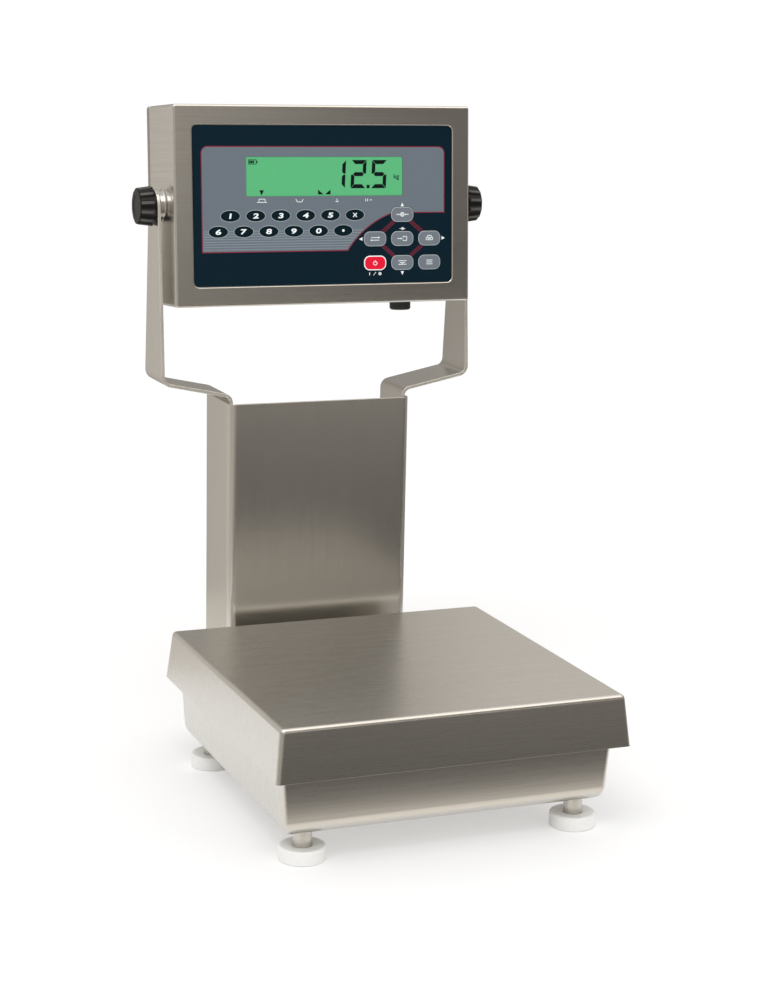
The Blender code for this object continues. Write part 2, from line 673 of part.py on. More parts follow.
def bolt(name, head_face, direction, x, grip):
    """A hexagon bolt along Y. Its head bears on head_face, and the shank goes on from it."""
    head = rod(BOLT_HEAD_RADIUS, -BOLT_HEAD_HEIGHT, 0.0, "Y", steps=6)
    shank = rod(BOLT_RADIUS, -BOLT_HEAD_HEIGHT / 2, grip, "Y")
    turn = Matrix.Rotation(0.0 if direction > 0 else math.pi, 4, "Z")
    for mesh in (head, shank):
        mesh.transform(turn)
    made = piece(name, head, (STEEL, 0.3, 1.0), (x, head_face, BOLT_LEVEL))
    cutter(made, shank, "UNION")


def build_column_bracket():
    """A folded bracket, open below, that bolts to the pan in front and the column behind."""
    front_low = pan_rear_at(BRACKET_BOTTOM) + SEAT_GAP
    front_high = pan_rear_at(BRACKET_TOP) + SEAT_GAP
    rear = COLUMN_FRONT - SEAT_GAP
    path = rounded_path([(front_low, BRACKET_BOTTOM),
                         (front_high, BRACKET_TOP, BRACKET_BEND_RADIUS),
                         (rear, BRACKET_TOP, BRACKET_BEND_RADIUS), (rear, BRACKET_BOTTOM)], 3)
    sheet = folded_sheet(path, lambda y, z: (-BRACKET_WIDTH / 2, y, z), (BRACKET_WIDTH, 0.0, 0.0))
    bracket = piece("column_bracket", sheet, (STEEL, 0.4, 1.0), smooth=True)
    thicken(bracket, BRACKET_SHEET)
    for side, x in bolt_places():
        for start, end in ((front_low - BRACKET_SHEET, front_high + 2 * BRACKET_SHEET),
                           (rear - 2 * BRACKET_SHEET, rear + BRACKET_SHEET)):
            hole = rod(BOLT_RADIUS + RUN_GAP, start, end, "Y")
            cutter(bracket, shifted(hole, (x, 0.0, BOLT_LEVEL)))
        pan_face = pan_rear_at(BOLT_LEVEL - BOLT_HEAD_RADIUS) - PAN_WALL - SEAT_GAP
        bolt(f"pan_bolt_{side}", pan_face, 1, x, BOLT_THREAD)
        bolt(f"column_bolt_{side}", COLUMN_FRONT + COLUMN_SHEET + SEAT_GAP, -1, x, BOLT_THREAD)


def arm_side_outline(steps=12):
    """The arm from the side, as (y, z): full width below, tapering to a round tip."""
    half = ARM_WIDTH / 2
    low = COLUMN_TOP - ARM_TAB_LENGTH - ARM_WIDTH
    shoulder = ARM_UPPER_CORNER + ARM_UPPER_BEND_RADIUS * BEND_REACH
    points = [(AXIS_Y - half, low), (AXIS_Y + half, low), (AXIS_Y + half, shoulder)]
    run = Vector((half, AXIS_HEIGHT - shoulder))
    lean = math.atan2(run.x - ARM_TIP_RADIUS, run.y)
    for step in range(steps + 1):
        angle = lean + (math.pi - 2 * lean) * step / steps
        points.append((AXIS_Y + ARM_TIP_RADIUS * math.cos(angle),
                       AXIS_HEIGHT + ARM_TIP_RADIUS * math.sin(angle)))
    points.append((AXIS_Y - half, shoulder))
    return points


def build_arms():
    """Flat bar, bent from a tab inside the column out and up to the tilt axis."""
    corners = [(ARM_TAB_FACE, COLUMN_TOP - ARM_TAB_LENGTH),
               (ARM_TAB_FACE, ARM_LOWER_CORNER, ARM_LOWER_BEND_RADIUS),
               (ARM_OUTER, ARM_UPPER_CORNER, ARM_UPPER_BEND_RADIUS),
               (ARM_OUTER, AXIS_HEIGHT + 2 * ARM_TIP_RADIUS)]
    for side, sign in (("left", -1), ("right", 1)):
        line = [(sign * x, z) for x, z in rounded_path(corners)]
        sheet = folded_sheet(line, lambda x, z: (x, AXIS_Y - ARM_WIDTH, z),
                             (0.0, 2 * ARM_WIDTH, 0.0))
        arm = piece(f"arm_{side}", sheet, (STEEL, 0.35, 1.0), smooth=True)
        thicken(arm, ARM_SHEET, -sign)
        cutter(arm, plate(arm_side_outline(), -2 * ARM_OUTER, 2 * ARM_OUTER, "X"), "INTERSECT")
        hole = rod(STUD_RADIUS + RUN_GAP, -ARM_SHEET, ARM_SHEET, "X")
        cutter(arm, shifted(hole, (sign * (ARM_OUTER - ARM_SHEET / 2), AXIS_Y, AXIS_HEIGHT)))


def build_box():
    """The indicator box: a shell open at the back, with a framed recess in its front."""
    bm = bmesh.new()
    bmesh.ops.create_cube(bm, size=1.0)
    bmesh.ops.scale(bm, vec=(BOX_WIDTH, BOX_DEPTH, BOX_HEIGHT), verts=bm.verts)
    bmesh.ops.translate(bm, vec=(0.0, BOX_FRONT + BOX_DEPTH / 2, 0.0), verts=bm.verts)
    bmesh.ops.bevel(bm, geom=bm.edges[:], offset=BOX_EDGE_RADIUS, segments=3, profile=0.5,
                    affect="EDGES")
    back = max(bm.faces, key=lambda f: f.calc_center_median().y)
    bmesh.ops.inset_region(bm, faces=[back], thickness=BOX_FLANGE - BOX_EDGE_RADIUS)
    bmesh.ops.delete(bm, geom=[back], context="FACES_ONLY")
    enclosure = piece("enclosure", mesh_from(bm, "enclosure"), (STEEL, 0.32, 1.0),
                      parent=TILT, smooth=True)
    thicken(enclosure, BOX_SHEET)
    rim = rounded_outline(PANEL_WIDTH + 2 * RECESS_RIM, PANEL_HEIGHT + 2 * RECESS_RIM,
                          PANEL_CORNER_RADIUS + RECESS_RIM)
    cutter(enclosure, plate(rim, BOX_FRONT + BOX_SHEET / 2, FLOOR_BACK), "UNION")
    for px, pz in post_places():
        post = rod(POST_RADIUS, FLOOR_FRONT + RECESS_FLOOR / 2, BOARD_FRONT - SEAT_GAP, "Y")
        cutter(enclosure, shifted(post, (px, 0.0, pz)), "UNION")
    for sign in (-1, 1):
        inner = BOX_WIDTH / 2 - BOX_SHEET / 2
        boss = rod(BOSS_RADIUS, inner, BOX_WIDTH / 2 + BOSS_LENGTH, "X", steps=ROUND_STEPS)
        boss.transform(Matrix.Rotation(0.0 if sign > 0 else math.pi, 4, "Z"))
        cutter(enclosure, boss, "UNION")
    pocket = rounded_outline(PANEL_WIDTH + 2 * SEAT_GAP, PANEL_HEIGHT + 2 * SEAT_GAP,
                             PANEL_CORNER_RADIUS + SEAT_GAP)
    cutter(enclosure, plate(pocket, BOX_FRONT - BOX_SHEET, FLOOR_FRONT))
    window = window_outline(SEAT_GAP)
    cutter(enclosure, plate(window, PANEL_BACK, FLOOR_BACK + BOX_SHEET))
    stud = rod(STUD_RADIUS + RUN_GAP, -BOX_WIDTH, BOX_WIDTH, "X")
    cutter(enclosure, stud)
    grip = rod(GRIP_NECK_RADIUS + RUN_GAP, -BOX_HEIGHT / 2 - BOX_SHEET,
               -BOX_HEIGHT / 2 + 2 * BOX_SHEET, steps=ROUND_STEPS)
    cutter(enclosure, shifted(grip, (GRIP_X, 0.0, 0.0)))
    for _, x, z in screw_places():
        hole = rod(SCREW_RADIUS + RUN_GAP, BOX_BACK - 2 * BOX_SHEET, BOX_BACK + BOX_SHEET, "Y")
        cutter(enclosure, shifted(hole, (x, 0.0, z)))


def post_places():
    x = BOARD_WIDTH / 2 - BOARD_HOLE_INSET
    z = BOARD_HEIGHT / 2 - BOARD_HOLE_INSET
    return [(sx * x, sz * z) for sx in (-1, 1) for sz in (-1, 1)]


def screw_places():
    x = BOX_WIDTH / 2 - SCREW_INSET
    z = BOX_HEIGHT / 2 - SCREW_INSET
    return [("top_left", -x, z), ("top_right", x, z),
            ("bottom_left", -x, -z), ("bottom_right", x, -z)]


def key_places():
    """Each key's name, middle and outline function, from the two rows and the cluster."""
    keys = []
    upper = ["key_1", "key_2", "key_3", "key_4", "key_5", "key_clear"]
    lower = ["key_6", "key_7", "key_8", "key_9", "key_0", "key_point"]
    for names, x, z in ((upper, UPPER_ROW_X, UPPER_ROW_Z), (lower, LOWER_ROW_X, LOWER_ROW_Z)):
        for place, name in enumerate(names[:OVALS_IN_ROW]):
            keys.append((name, x + place * OVAL_PITCH, z, "oval"))
    cluster = {"key_zero": (0, 1), "key_unit": (-1, 0), "key_tare": (0, 0), "key_print": (1, 0),
               "key_net": (0, -1), "key_menu": (1, -1), "key_power": (-1, -1)}
    for name, (column, row) in cluster.items():
        keys.append((name, CLUSTER_X + column * CLUSTER_PITCH_X,
                     CLUSTER_Z + row * CLUSTER_PITCH_Z, "pill"))
    return [(name, x * STRETCH_X, z * STRETCH_Z, shape) for name, x, z, shape in keys]


def key_outline(shape, gap):
    if shape == "oval":
        return oval_outline(OVAL_WIDTH * STRETCH_X + 2 * gap, OVAL_HEIGHT * STRETCH_Z + 2 * gap)
    return rounded_outline(PILL_WIDTH * STRETCH_X + 2 * gap, PILL_HEIGHT * STRETCH_Z + 2 * gap,
                           PILL_CORNER_RADIUS * min(STRETCH_X, STRETCH_Z) + gap)


def window_outline(gap):
    """The window for the display, or at no gap the glass that stands in it."""
    return rounded_outline(GLASS_WIDTH + 2 * gap, GLASS_HEIGHT + 2 * gap,
                           WINDOW_CORNER_RADIUS, (GLASS_X, GLASS_Z), 2)


def build_key_panel():
    """The key panel, with a window for the display and an opening for each key."""
    outline = rounded_outline(PANEL_WIDTH, PANEL_HEIGHT, PANEL_CORNER_RADIUS)
    panel = piece("key_panel", plate(outline, PANEL_FRONT, PANEL_BACK),
                  ((0.02, 0.05, 0.08), 0.35, 0.0), parent=TILT)
    window = window_outline(SEAT_GAP)
    cutter(panel, plate(window, PANEL_FRONT - PANEL_THICKNESS, PANEL_BACK + PANEL_THICKNESS))
    for name, x, z, shape in key_places():
        opening = plate(key_outline(shape, KEY_GAP), PANEL_FRONT - PANEL_THICKNESS,
                        PANEL_BACK + PANEL_THICKNESS)
        cutter(panel, shifted(opening, (x, 0.0, z)))
        colour = {"oval": (0.02, 0.05, 0.08), "pill": (0.25, 0.28, 0.32)}[shape]
        if name == "key_power":
            colour = (0.70, 0.02, 0.05)
        key = plate(key_outline(shape, 0.0), 0.0, KEY_THICKNESS, edge=KEY_ROUND)
        piece(name, key, (colour, 0.35, 0.0), (x, PANEL_FRONT - KEY_PROUD, z), TILT)


def build_electronics():
    """The display module behind its window, and the circuit board on its four posts."""
    front = PANEL_FRONT + DISPLAY_SETBACK
    step = FLOOR_BACK + SEAT_GAP
    back = BOARD_FRONT - SEAT_GAP
    display = piece("display_module", plate(window_outline(0.0), front, step + DISPLAY_FLANGE),
                    ((0.10, 0.45, 0.20), 0.2, 0.0), parent=TILT)
    size = (GLASS_WIDTH + 2 * DISPLAY_BORDER, back - step, GLASS_HEIGHT + 2 * DISPLAY_BORDER)
    cutter(display, box(size, (GLASS_X, (step + back) / 2, GLASS_Z)), "UNION")
    outline = rounded_outline(BOARD_WIDTH, BOARD_HEIGHT, BOARD_CORNER_RADIUS, steps=2)
    board = piece("circuit_board", plate(outline, BOARD_FRONT, BOARD_FRONT + BOARD_THICKNESS),
                  ((0.02, 0.20, 0.08), 0.5, 0.0), parent=TILT)
    for x, z in post_places():
        hole = rod(BOARD_HOLE_RADIUS, BOARD_FRONT - BOARD_THICKNESS,
                   BOARD_FRONT + 2 * BOARD_THICKNESS, "Y")
        cutter(board, shifted(hole, (x, 0.0, z)))


def box_outline(inset):
    """The outline of the box's back, drawn in by an inset."""
    radius = max(LID_CORNER_RADIUS - inset, SEAT_GAP)
    return rounded_outline(BOX_WIDTH - 2 * inset, BOX_HEIGHT - 2 * inset, radius)


def build_back():
    """The lid on the back of the box, the gasket inside its rim and its four corner screws."""
    lid = piece("back_plate", plate(box_outline(0.0), LID_FRONT, LID_BACK), (STEEL, 0.32, 1.0),
                parent=TILT)
    cutter(lid, plate(box_outline(LID_SHEET), BOX_BACK, LID_FLOOR))
    ring = LID_SHEET + SEAT_GAP
    gasket = piece("back_gasket", plate(box_outline(ring), LID_FRONT, LID_FLOOR - SEAT_GAP),
                   ((0.05, 0.05, 0.05), 0.8, 0.0), parent=TILT)
    cutter(gasket, plate(box_outline(ring + GASKET_WIDTH), BOX_BACK, LID_BACK))
    for corner, x, z in screw_places():
        for owner in (gasket, lid):
            hole = rod(SCREW_RADIUS + RUN_GAP, BOX_BACK, LID_BACK + LID_SHEET, "Y")
            cutter(owner, shifted(hole, (x, 0.0, z)))
        seat = LID_BACK + SEAT_GAP
        dome = quarter_round(SCREW_HEAD_RADIUS, SCREW_HEAD_HEIGHT, SCREW_HEAD_ROUND)
        profile = [(0.0, SCREW_HEAD_HEIGHT), *dome, (SCREW_HEAD_RADIUS, 0.0),
                   (SCREW_RADIUS, 0.0), (SCREW_RADIUS, -SCREW_LENGTH), (0.0, -SCREW_LENGTH)]
        screw = turned(f"back_screw_{corner}", profile, (STEEL, 0.3, 1.0), (x, seat, z), TILT,
                       steps=SMALL_ROUND_STEPS)
        screw.rotation_euler = (-math.pi / 2, 0.0, 0.0)


def build_cord_grip():
    """The cord grip: a cap under the box, with its neck and lock nut through the wall."""
    wall = -BOX_HEIGHT / 2
    low = -GRIP_DROP
    cap = [(GRIP_RADIUS - GRIP_ROUND * (1 - math.cos(a)), low + GRIP_ROUND * (1 - math.sin(a)))
           for a in [math.pi / 2 * step / 3 for step in range(4)]]
    nut_low = BOX_SHEET + SEAT_GAP
    profile = [(0.0, nut_low + GRIP_NUT_HEIGHT), (GRIP_NUT_RADIUS, nut_low + GRIP_NUT_HEIGHT),
               (GRIP_NUT_RADIUS, nut_low), (GRIP_NECK_RADIUS, nut_low),
               (GRIP_NECK_RADIUS, -SEAT_GAP), (GRIP_RADIUS, -SEAT_GAP), *cap,
               (GRIP_BORE_RADIUS, low), (GRIP_BORE_RADIUS, low + GRIP_BORE_DEPTH),
               (0.0, low + GRIP_BORE_DEPTH)]
    turned("cord_grip", profile, ((0.02, 0.02, 0.02), 0.5, 0.0), (GRIP_X, 0.0, wall), TILT)


def fluted_outline(radius):
    """A circle with round grooves cut into it, as (y, z) points."""
    points = []
    half_groove = KNOB_FLUTE_WIDTH / 2 / radius
    land = math.pi / KNOB_FLUTES
    for flute in range(KNOB_FLUTES):
        middle = 2 * math.pi * flute / KNOB_FLUTES
        for step in range(4):
            share = -1 + step * 2 / 3
            deep = radius - KNOB_FLUTE_DEPTH * math.sqrt(1 - share * share)
            angle = middle + half_groove * share
            points.append((deep * math.cos(angle), deep * math.sin(angle)))
        points.append((radius * math.cos(middle + land), radius * math.sin(middle + land)))
    return points


def build_knobs():
    """Each knob is a fluted grip on a stud that passes the arm and screws into the boss."""
    washer_face = ARM_OUTER + SEAT_GAP
    knob_face = washer_face + WASHER_THICKNESS + SEAT_GAP
    for side, sign in (("left", -1), ("right", 1)):
        turn = Matrix.Rotation(0.0 if sign > 0 else math.pi, 4, "Z")
        ring = rod(WASHER_RADIUS, washer_face, washer_face + WASHER_THICKNESS, "X", steps=ROUND_STEPS)
        ring.transform(turn)
        washer = piece(f"knob_washer_{side}", ring, (STEEL, 0.3, 1.0), parent=TILT)
        hole = rod(STUD_RADIUS + RUN_GAP, 0.0, 2 * washer_face, "X")
        hole.transform(turn)
        cutter(washer, hole)
        grip = plate(fluted_outline(KNOB_RADIUS), knob_face + KNOB_LENGTH, knob_face, "X",
                     KNOB_CHAMFER)
        for vert in grip.vertices:
            share = (vert.co.x - knob_face) / KNOB_LENGTH
            narrow = 1 + (KNOB_FACE_RADIUS / KNOB_RADIUS - 1) * share
            vert.co.y *= narrow
            vert.co.z *= narrow
        grip.transform(turn)
        knob = piece(f"knob_{side}", grip, ((0.03, 0.03, 0.03), 0.45, 0.0), parent=TILT,
                     smooth=True)
        knob_front = knob_face + KNOB_LENGTH
        cap = rod(KNOB_CAP_RADIUS, knob_front - 2 * KNOB_CAP_HEIGHT, knob_front + KNOB_CAP_HEIGHT,
                  "X", steps=ROUND_STEPS)
        stud = rod(STUD_RADIUS, knob_face - STUD_REACH, knob_face + KNOB_CHAMFER, "X")
        for mesh in (cap, stud):
            mesh.transform(turn)
            cutter(knob, mesh, "UNION")


def centre_on_floor():
    """Moves the scale so that its overall box is centred over the origin."""
    bpy.context.view_layer.update()
    graph = bpy.context.evaluated_depsgraph_get()
    rows = []
    for made in PARTS.objects:
        if made.type == "MESH":
            solid = made.evaluated_get(graph)
            rows.extend((solid.matrix_world @ Vector(corner)).y for corner in solid.bound_box)
    ORIGIN.location.y = -(min(rows) + max(rows)) / 2


def build_scale():
    build_platter()
    build_base_pan()
    build_feet()
    build_load_cell()
    build_platter_frame()
    build_column()
    build_column_bracket()
    build_arms()
    build_box()
    build_key_panel()
    build_electronics()
    build_back()
    build_cord_grip()
    build_knobs()
    centre_on_floor()


clear_scene()
PARTS = collection("bench_scale")
CUTTERS = collection("cutters")
ORIGIN = empty("scale_origin", (0.0, 0.0, 0.0))
TILT = empty("tilt_axis", (0.0, AXIS_Y, AXIS_HEIGHT), (-BOX_TILT, 0.0, 0.0), ORIGIN)
build_scale()
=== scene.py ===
import json
import math

import bmesh
import bpy
import numpy as np
from mathutils import Matrix, Vector


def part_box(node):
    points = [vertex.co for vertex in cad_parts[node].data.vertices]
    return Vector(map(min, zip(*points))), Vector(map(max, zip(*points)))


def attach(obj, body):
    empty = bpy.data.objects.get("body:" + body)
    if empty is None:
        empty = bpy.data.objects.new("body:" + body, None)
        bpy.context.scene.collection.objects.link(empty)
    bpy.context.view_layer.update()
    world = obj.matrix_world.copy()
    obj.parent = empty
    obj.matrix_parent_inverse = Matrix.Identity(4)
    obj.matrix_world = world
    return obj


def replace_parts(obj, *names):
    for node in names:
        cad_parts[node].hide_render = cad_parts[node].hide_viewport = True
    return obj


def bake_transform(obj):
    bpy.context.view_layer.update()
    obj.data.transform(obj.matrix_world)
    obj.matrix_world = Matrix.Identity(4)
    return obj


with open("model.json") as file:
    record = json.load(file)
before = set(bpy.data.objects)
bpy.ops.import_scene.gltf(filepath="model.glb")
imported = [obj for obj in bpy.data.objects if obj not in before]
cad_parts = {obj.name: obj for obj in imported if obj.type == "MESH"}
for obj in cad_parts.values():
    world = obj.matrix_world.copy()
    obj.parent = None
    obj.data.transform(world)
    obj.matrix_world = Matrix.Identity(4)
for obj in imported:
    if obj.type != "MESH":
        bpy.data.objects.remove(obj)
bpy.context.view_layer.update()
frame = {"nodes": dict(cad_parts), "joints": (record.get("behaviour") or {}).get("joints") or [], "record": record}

jointNamed = {joint["name"]: joint for joint in frame["joints"]}
tiltAxis = np.array(jointNamed["indicator_tilt"]["pos_m"])
pressAxis = jointNamed["press_1"]["axis"]
restLean = math.atan2(-pressAxis[2], pressAxis[1])  # the indicator leans back by this at rest
leanTurn = np.array([[1, 0, 0], [0, math.cos(restLean), math.sin(restLean)],
                     [0, -math.sin(restLean), math.cos(restLean)]])
mm = 0.001
gap = 0.3 * mm  # between two pieces that lie on each other
leastRound = 0.25 * mm  # of a corner whose radius would run out
sides = {"left": -1, "right": 1}
sheetSteps = {"bend": 8, "edge": 4}
smoothUnder = 32  # degrees between two faces that are shaded as one
print("frame loaded:", len(frame["nodes"]), "nodes")


def unit(vector):
    # a vector, or each row of an array, divided by its length
    return vector / np.linalg.norm(vector, axis=-1, keepdims=True)


def beside(vector):
    # a quarter turn to the left: (-v, u)
    return np.stack([-vector[..., 1], vector[..., 0]], axis=-1)


def quarterTurn(steps):
    # even angles from 0 to a right angle
    return np.linspace(0, math.pi / 2, steps + 1)


def fullTurn(count):
    # even angles round a circle, where the last stops one step before the first
    return np.linspace(0, 2 * math.pi, count, endpoint=False)


def around(angle):
    # a point of the unit circle for each angle: (cos(angle), sin(angle))
    return np.stack([np.cos(angle), np.sin(angle)], axis=-1)


def bentLine(corners, steps):
    # straight runs with a round corner at each (u, v, radius): its centre + cos(angle) * first +
    # sin(angle) * first turned left; the first and last corners have no radius
    points = [np.array([corners[0][:2]], float)]
    for before, here, after in zip(corners, corners[1:], corners[2:]):
        corner, radius = np.array(here[:2], float), here[2]
        back, ahead = unit(np.array(before[:2]) - corner), unit(np.array(after[:2]) - corner)
        half = math.acos(np.clip(back @ ahead, -1, 1)) / 2
        centre = corner + unit(back + ahead) * radius / math.sin(half)
        first = corner + back * radius / math.tan(half) - centre
        last = corner + ahead * radius / math.tan(half) - centre
        sweep = math.atan2(first[0] * last[1] - first[1] * last[0], first @ last)
        angle = np.linspace(0, sweep, steps + 1)[:, None]
        points.append(centre + np.cos(angle) * first + np.sin(angle) * beside(first))
    points.append(np.array([corners[-1][:2]], float))
    return np.concatenate(points)


def leftOf(line):
    # unit normals to the left of a line, longer at its corners so that an offset keeps its width
    run = unit(np.diff(line, axis=0))
    before = np.vstack([run[:1], run])
    along = unit(before + np.vstack([run, run[-1:]]))
    return beside(along) / np.sum(along * before, axis=1)[:, None]


def roundedRings(halfU, halfV, radius, steps=6, midU=0.0, midV=0.0):
    # one ring a row: x = mid + sign * (half - radius) + radius * cos(angle), and so for y
    halfU, halfV, radius, midU, midV = np.broadcast_arrays(
        *[np.asarray(a, float)[..., None] for a in (halfU, halfV, radius, midU, midV)])
    angle = np.concatenate([quarterTurn(steps) + k * math.pi / 2 for k in range(4)])[None, :]
    signU = np.repeat([1, -1, -1, 1], steps + 1)[None, :]
    signV = np.repeat([1, 1, -1, -1], steps + 1)[None, :]
    u = midU + signU * (halfU - radius) + radius * np.cos(angle)
    v = midV + signV * (halfV - radius) + radius * np.sin(angle)
    return u, v


def sheetRows(corners, thickness):
    # the line of a bent sheet there on its outer side, round its edge, and back on its inner side
    outer = bentLine(corners, sheetSteps["bend"])
    normal = leftOf(outer)
    middle = outer[-1] + normal[-1] * thickness / 2
    along = unit(outer[-1] - outer[-2]) * thickness / 2
    angle = np.linspace(0, math.pi, sheetSteps["edge"] + 1)[1:-1, None]
    edge = middle + np.cos(angle) * (outer[-1] - middle) + np.sin(angle) * along
    return np.vstack([outer, edge, (outer + normal * thickness)[::-1]]), len(outer)


def linked(name, data):
    # a new object that holds this data, in the scene
    made = bpy.data.objects.new(name, data)
    bpy.context.scene.collection.objects.link(made)
    return made


def meshNow(owner):
    # a new mesh of an object as its modifiers or its curve make it
    graph = bpy.context.evaluated_depsgraph_get()
    return bpy.data.meshes.new_from_object(owner.evaluated_get(graph))


def coordsOf(mesh):
    # one row of x, y and z for each point
    points = np.zeros(len(mesh.vertices) * 3, np.float32)
    mesh.vertices.foreach_get("co", points)
    return points.reshape(-1, 3).astype(float)


def cleaned(mesh):
    # merges points within 2 thousandths of a millimetre and turns the faces outwards
    shape = bmesh.new()
    shape.from_mesh(mesh)
    bmesh.ops.remove_doubles(shape, verts=shape.verts, dist=2e-6)
    bmesh.ops.dissolve_degenerate(shape, edges=shape.edges, dist=1e-7)
    bmesh.ops.recalc_face_normals(shape, faces=shape.faces)
    shape.to_mesh(mesh)
    shape.free()


def shadeFlats(owner):
    # large flat faces keep their normals beside rounded edges
    normals = owner.modifiers.new("flat faces keep their normals", "WEIGHTED_NORMAL")
    normals.keep_sharp = True
    normals.weight = 80


def piece(name, mesh, finishes, body, sharp=smoothUnder, weighted=True):
    # a cleaned mesh as an object, smooth up to the sharp angle in degrees
    cleaned(mesh)
    made = linked(name, mesh)
    for finish in finishes:
        mesh.materials.append(finish)
    if sharp:
        mesh.shade_smooth()
        mesh.set_sharp_from_angle(angle=math.radians(sharp))
    if weighted and sharp:
        shadeFlats(made)
    if body:
        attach(made, body)
    return made


def gridMesh(name, points, wrapRows=False):
    # quads between neighbouring rows and columns of a (row, column, xyz) grid that closes
    # across its columns; the first and last rows are filled, or joined where wrapRows is set
    rows, cols = points.shape[:2]
    index = np.arange(rows * cols).reshape(rows, cols)
    below = np.roll(index, -1, axis=0) if wrapRows else index[1:]
    index = index if wrapRows else index[:-1]
    quads = np.stack([index, np.roll(index, -1, 1), np.roll(below, -1, 1), below], axis=-1)
    faces = quads.reshape(-1, 4).tolist()
    if not wrapRows:
        faces += [list(range(cols))[::-1], list(range((rows - 1) * cols, rows * cols))]
    mesh = bpy.data.meshes.new(name)
    mesh.from_pydata(points.reshape(-1, 3).tolist(), [], faces)
    return mesh


def gridPiece(name, points, finish, body, wrapRows=False, **shading):
    # a piece of one finish from a grid of points
    return piece(name, gridMesh(name, points, wrapRows), [finish], body, **shading)


def turned(profile, axis, cols=48):
    # a profile of (radius, distance along the axis): radius * cos(angle) and radius * sin(angle)
    # across the axis
    radius, along = np.array(profile, float).T[..., None]
    angle = fullTurn(cols)[None, :]
    across, over, along = radius * np.cos(angle), radius * np.sin(angle), along + 0 * angle
    return np.stack((along, across, over) if axis == "X" else (across, over, along), axis=-1)


def turnedPiece(name, profile, middle, axis, finish, body, cols=48, **shading):
    # a turned profile moved to its middle
    return gridPiece(name, turned(profile, axis, cols) + np.array(middle), finish, body, **shading)


def roundEdge(radius, level, fillet, steps=4):
    # (radius, level) points of a quarter round from a flat top over to the outer side
    angle = np.linspace(math.pi / 2, 0, steps + 1)
    return ((radius - fillet, level - fillet) + fillet * around(angle)).tolist()


def leanBack(points):
    # turns points about X by the lean and moves them from the tilt axis into place
    return np.asarray(points) @ leanTurn.T + tiltAxis


def upright(points):
    # the way back from the leaning place, to x, depth and z about the tilt axis
    return (np.asarray(points) - tiltAxis) @ leanTurn


def onFace(flat, depth):
    # (x, z) points on the indicator's front, at a depth behind its tilt axis's plane
    flat = np.asarray(flat, float)
    return leanBack(np.stack([flat[..., 0], np.full(flat.shape[:-1], depth), flat[..., 1]], -1))


def prismMesh(name, outlines, front, back):
    # a closed prism for each (x, z) outline: two copies of its loop, joined by quads
    points, faces, start = [], [], 0
    for outline in outlines:
        count = len(outline)
        points += [onFace(outline, front), onFace(outline, back)]
        near = np.arange(count) + start
        far = near + count
        quads = np.stack([near, np.roll(near, -1), np.roll(far, -1), far], axis=1)
        faces += quads.tolist() + [near[::-1].tolist(), far.tolist()]
        start += 2 * count
    mesh = bpy.data.meshes.new(name)
    mesh.from_pydata(np.concatenate(points).tolist(), [], faces)
    return mesh


def flatMesh(name, curve, depth, shift=(0.0, 0.0), stretch=1.0):
    # the curve's mesh, with its flat X and Y taken as the front's x and z
    holder = linked(name, curve)
    mesh = meshNow(holder)
    bpy.data.objects.remove(holder, do_unlink=True)
    x, z, rise = coordsOf(mesh).T
    placed = np.stack([x * stretch + shift[0], depth - rise, z + shift[1]], 1)
    mesh.vertices.foreach_set("co", leanBack(placed).ravel())
    mesh.materials.clear()
    return mesh


def filmMesh(name, outlines, front, back):
    # a filled flat outline whose inner loops are openings, between two depths
    curve = bpy.data.curves.new(name, "CURVE")
    curve.dimensions = "2D"
    curve.fill_mode = "BOTH"
    curve.extrude = (back - front) / 2
    for outline in outlines:
        line = curve.splines.new("POLY")
        line.points.add(len(outline) - 1)
        flat = np.zeros((len(outline), 4))
        flat[:, :2] = outline
        flat[:, 3] = 1
        line.points.foreach_set("co", flat.ravel())
        line.use_cyclic_u = True
    return flatMesh(name, curve, (front + back) / 2)


def smoothCopy(node, finish, sharp=smoothUnder, rides=True):
    # a merged copy of a CAD node's mesh, shaded smooth, in the node's place
    mesh = frame["nodes"][node].data.copy()
    mesh.materials.clear()
    body = next(b for b, nodes in frame["record"]["behaviour"]["bodies"].items() if node in nodes)
    made = piece(node + "_finish", mesh, [finish], body if rides else None, sharp)
    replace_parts(made, node)
    return made


def feed(node, socket, value):
    # links another node's output to a socket, or sets the socket's own value
    if isinstance(value, bpy.types.NodeSocket):
        node.id_data.links.new(value, node.inputs[socket])
    else:
        node.inputs[socket].default_value = value


def addNode(tree, kind, sockets, **settings):
    # a new shader node with its settings, and with its sockets fed
    made = tree.nodes.new("ShaderNode" + kind)
    for key, value in settings.items():
        setattr(made, key, value)
    for socket, value in sockets.items():
        feed(made, socket, value)
    return made


def shaderOf(name, colour, roughness, metallic=0.0, specular=0.5):
    # a new material and its main shader, with the values that don't vary over the surface
    made = bpy.data.materials.new(name)
    made.use_nodes = True
    shader = made.node_tree.nodes["Principled BSDF"]
    feed(shader, "Base Color", (*colour, 1.0))
    feed(shader, "Roughness", roughness)
    feed(shader, "Metallic", metallic)
    feed(shader, "Specular IOR Level", specular)
    return made, shader


def bareMaterial(name):
    # a material with nothing but its output
    made = bpy.data.materials.new(name)
    made.use_nodes = True
    made.node_tree.nodes.remove(made.node_tree.nodes["Principled BSDF"])
    return made


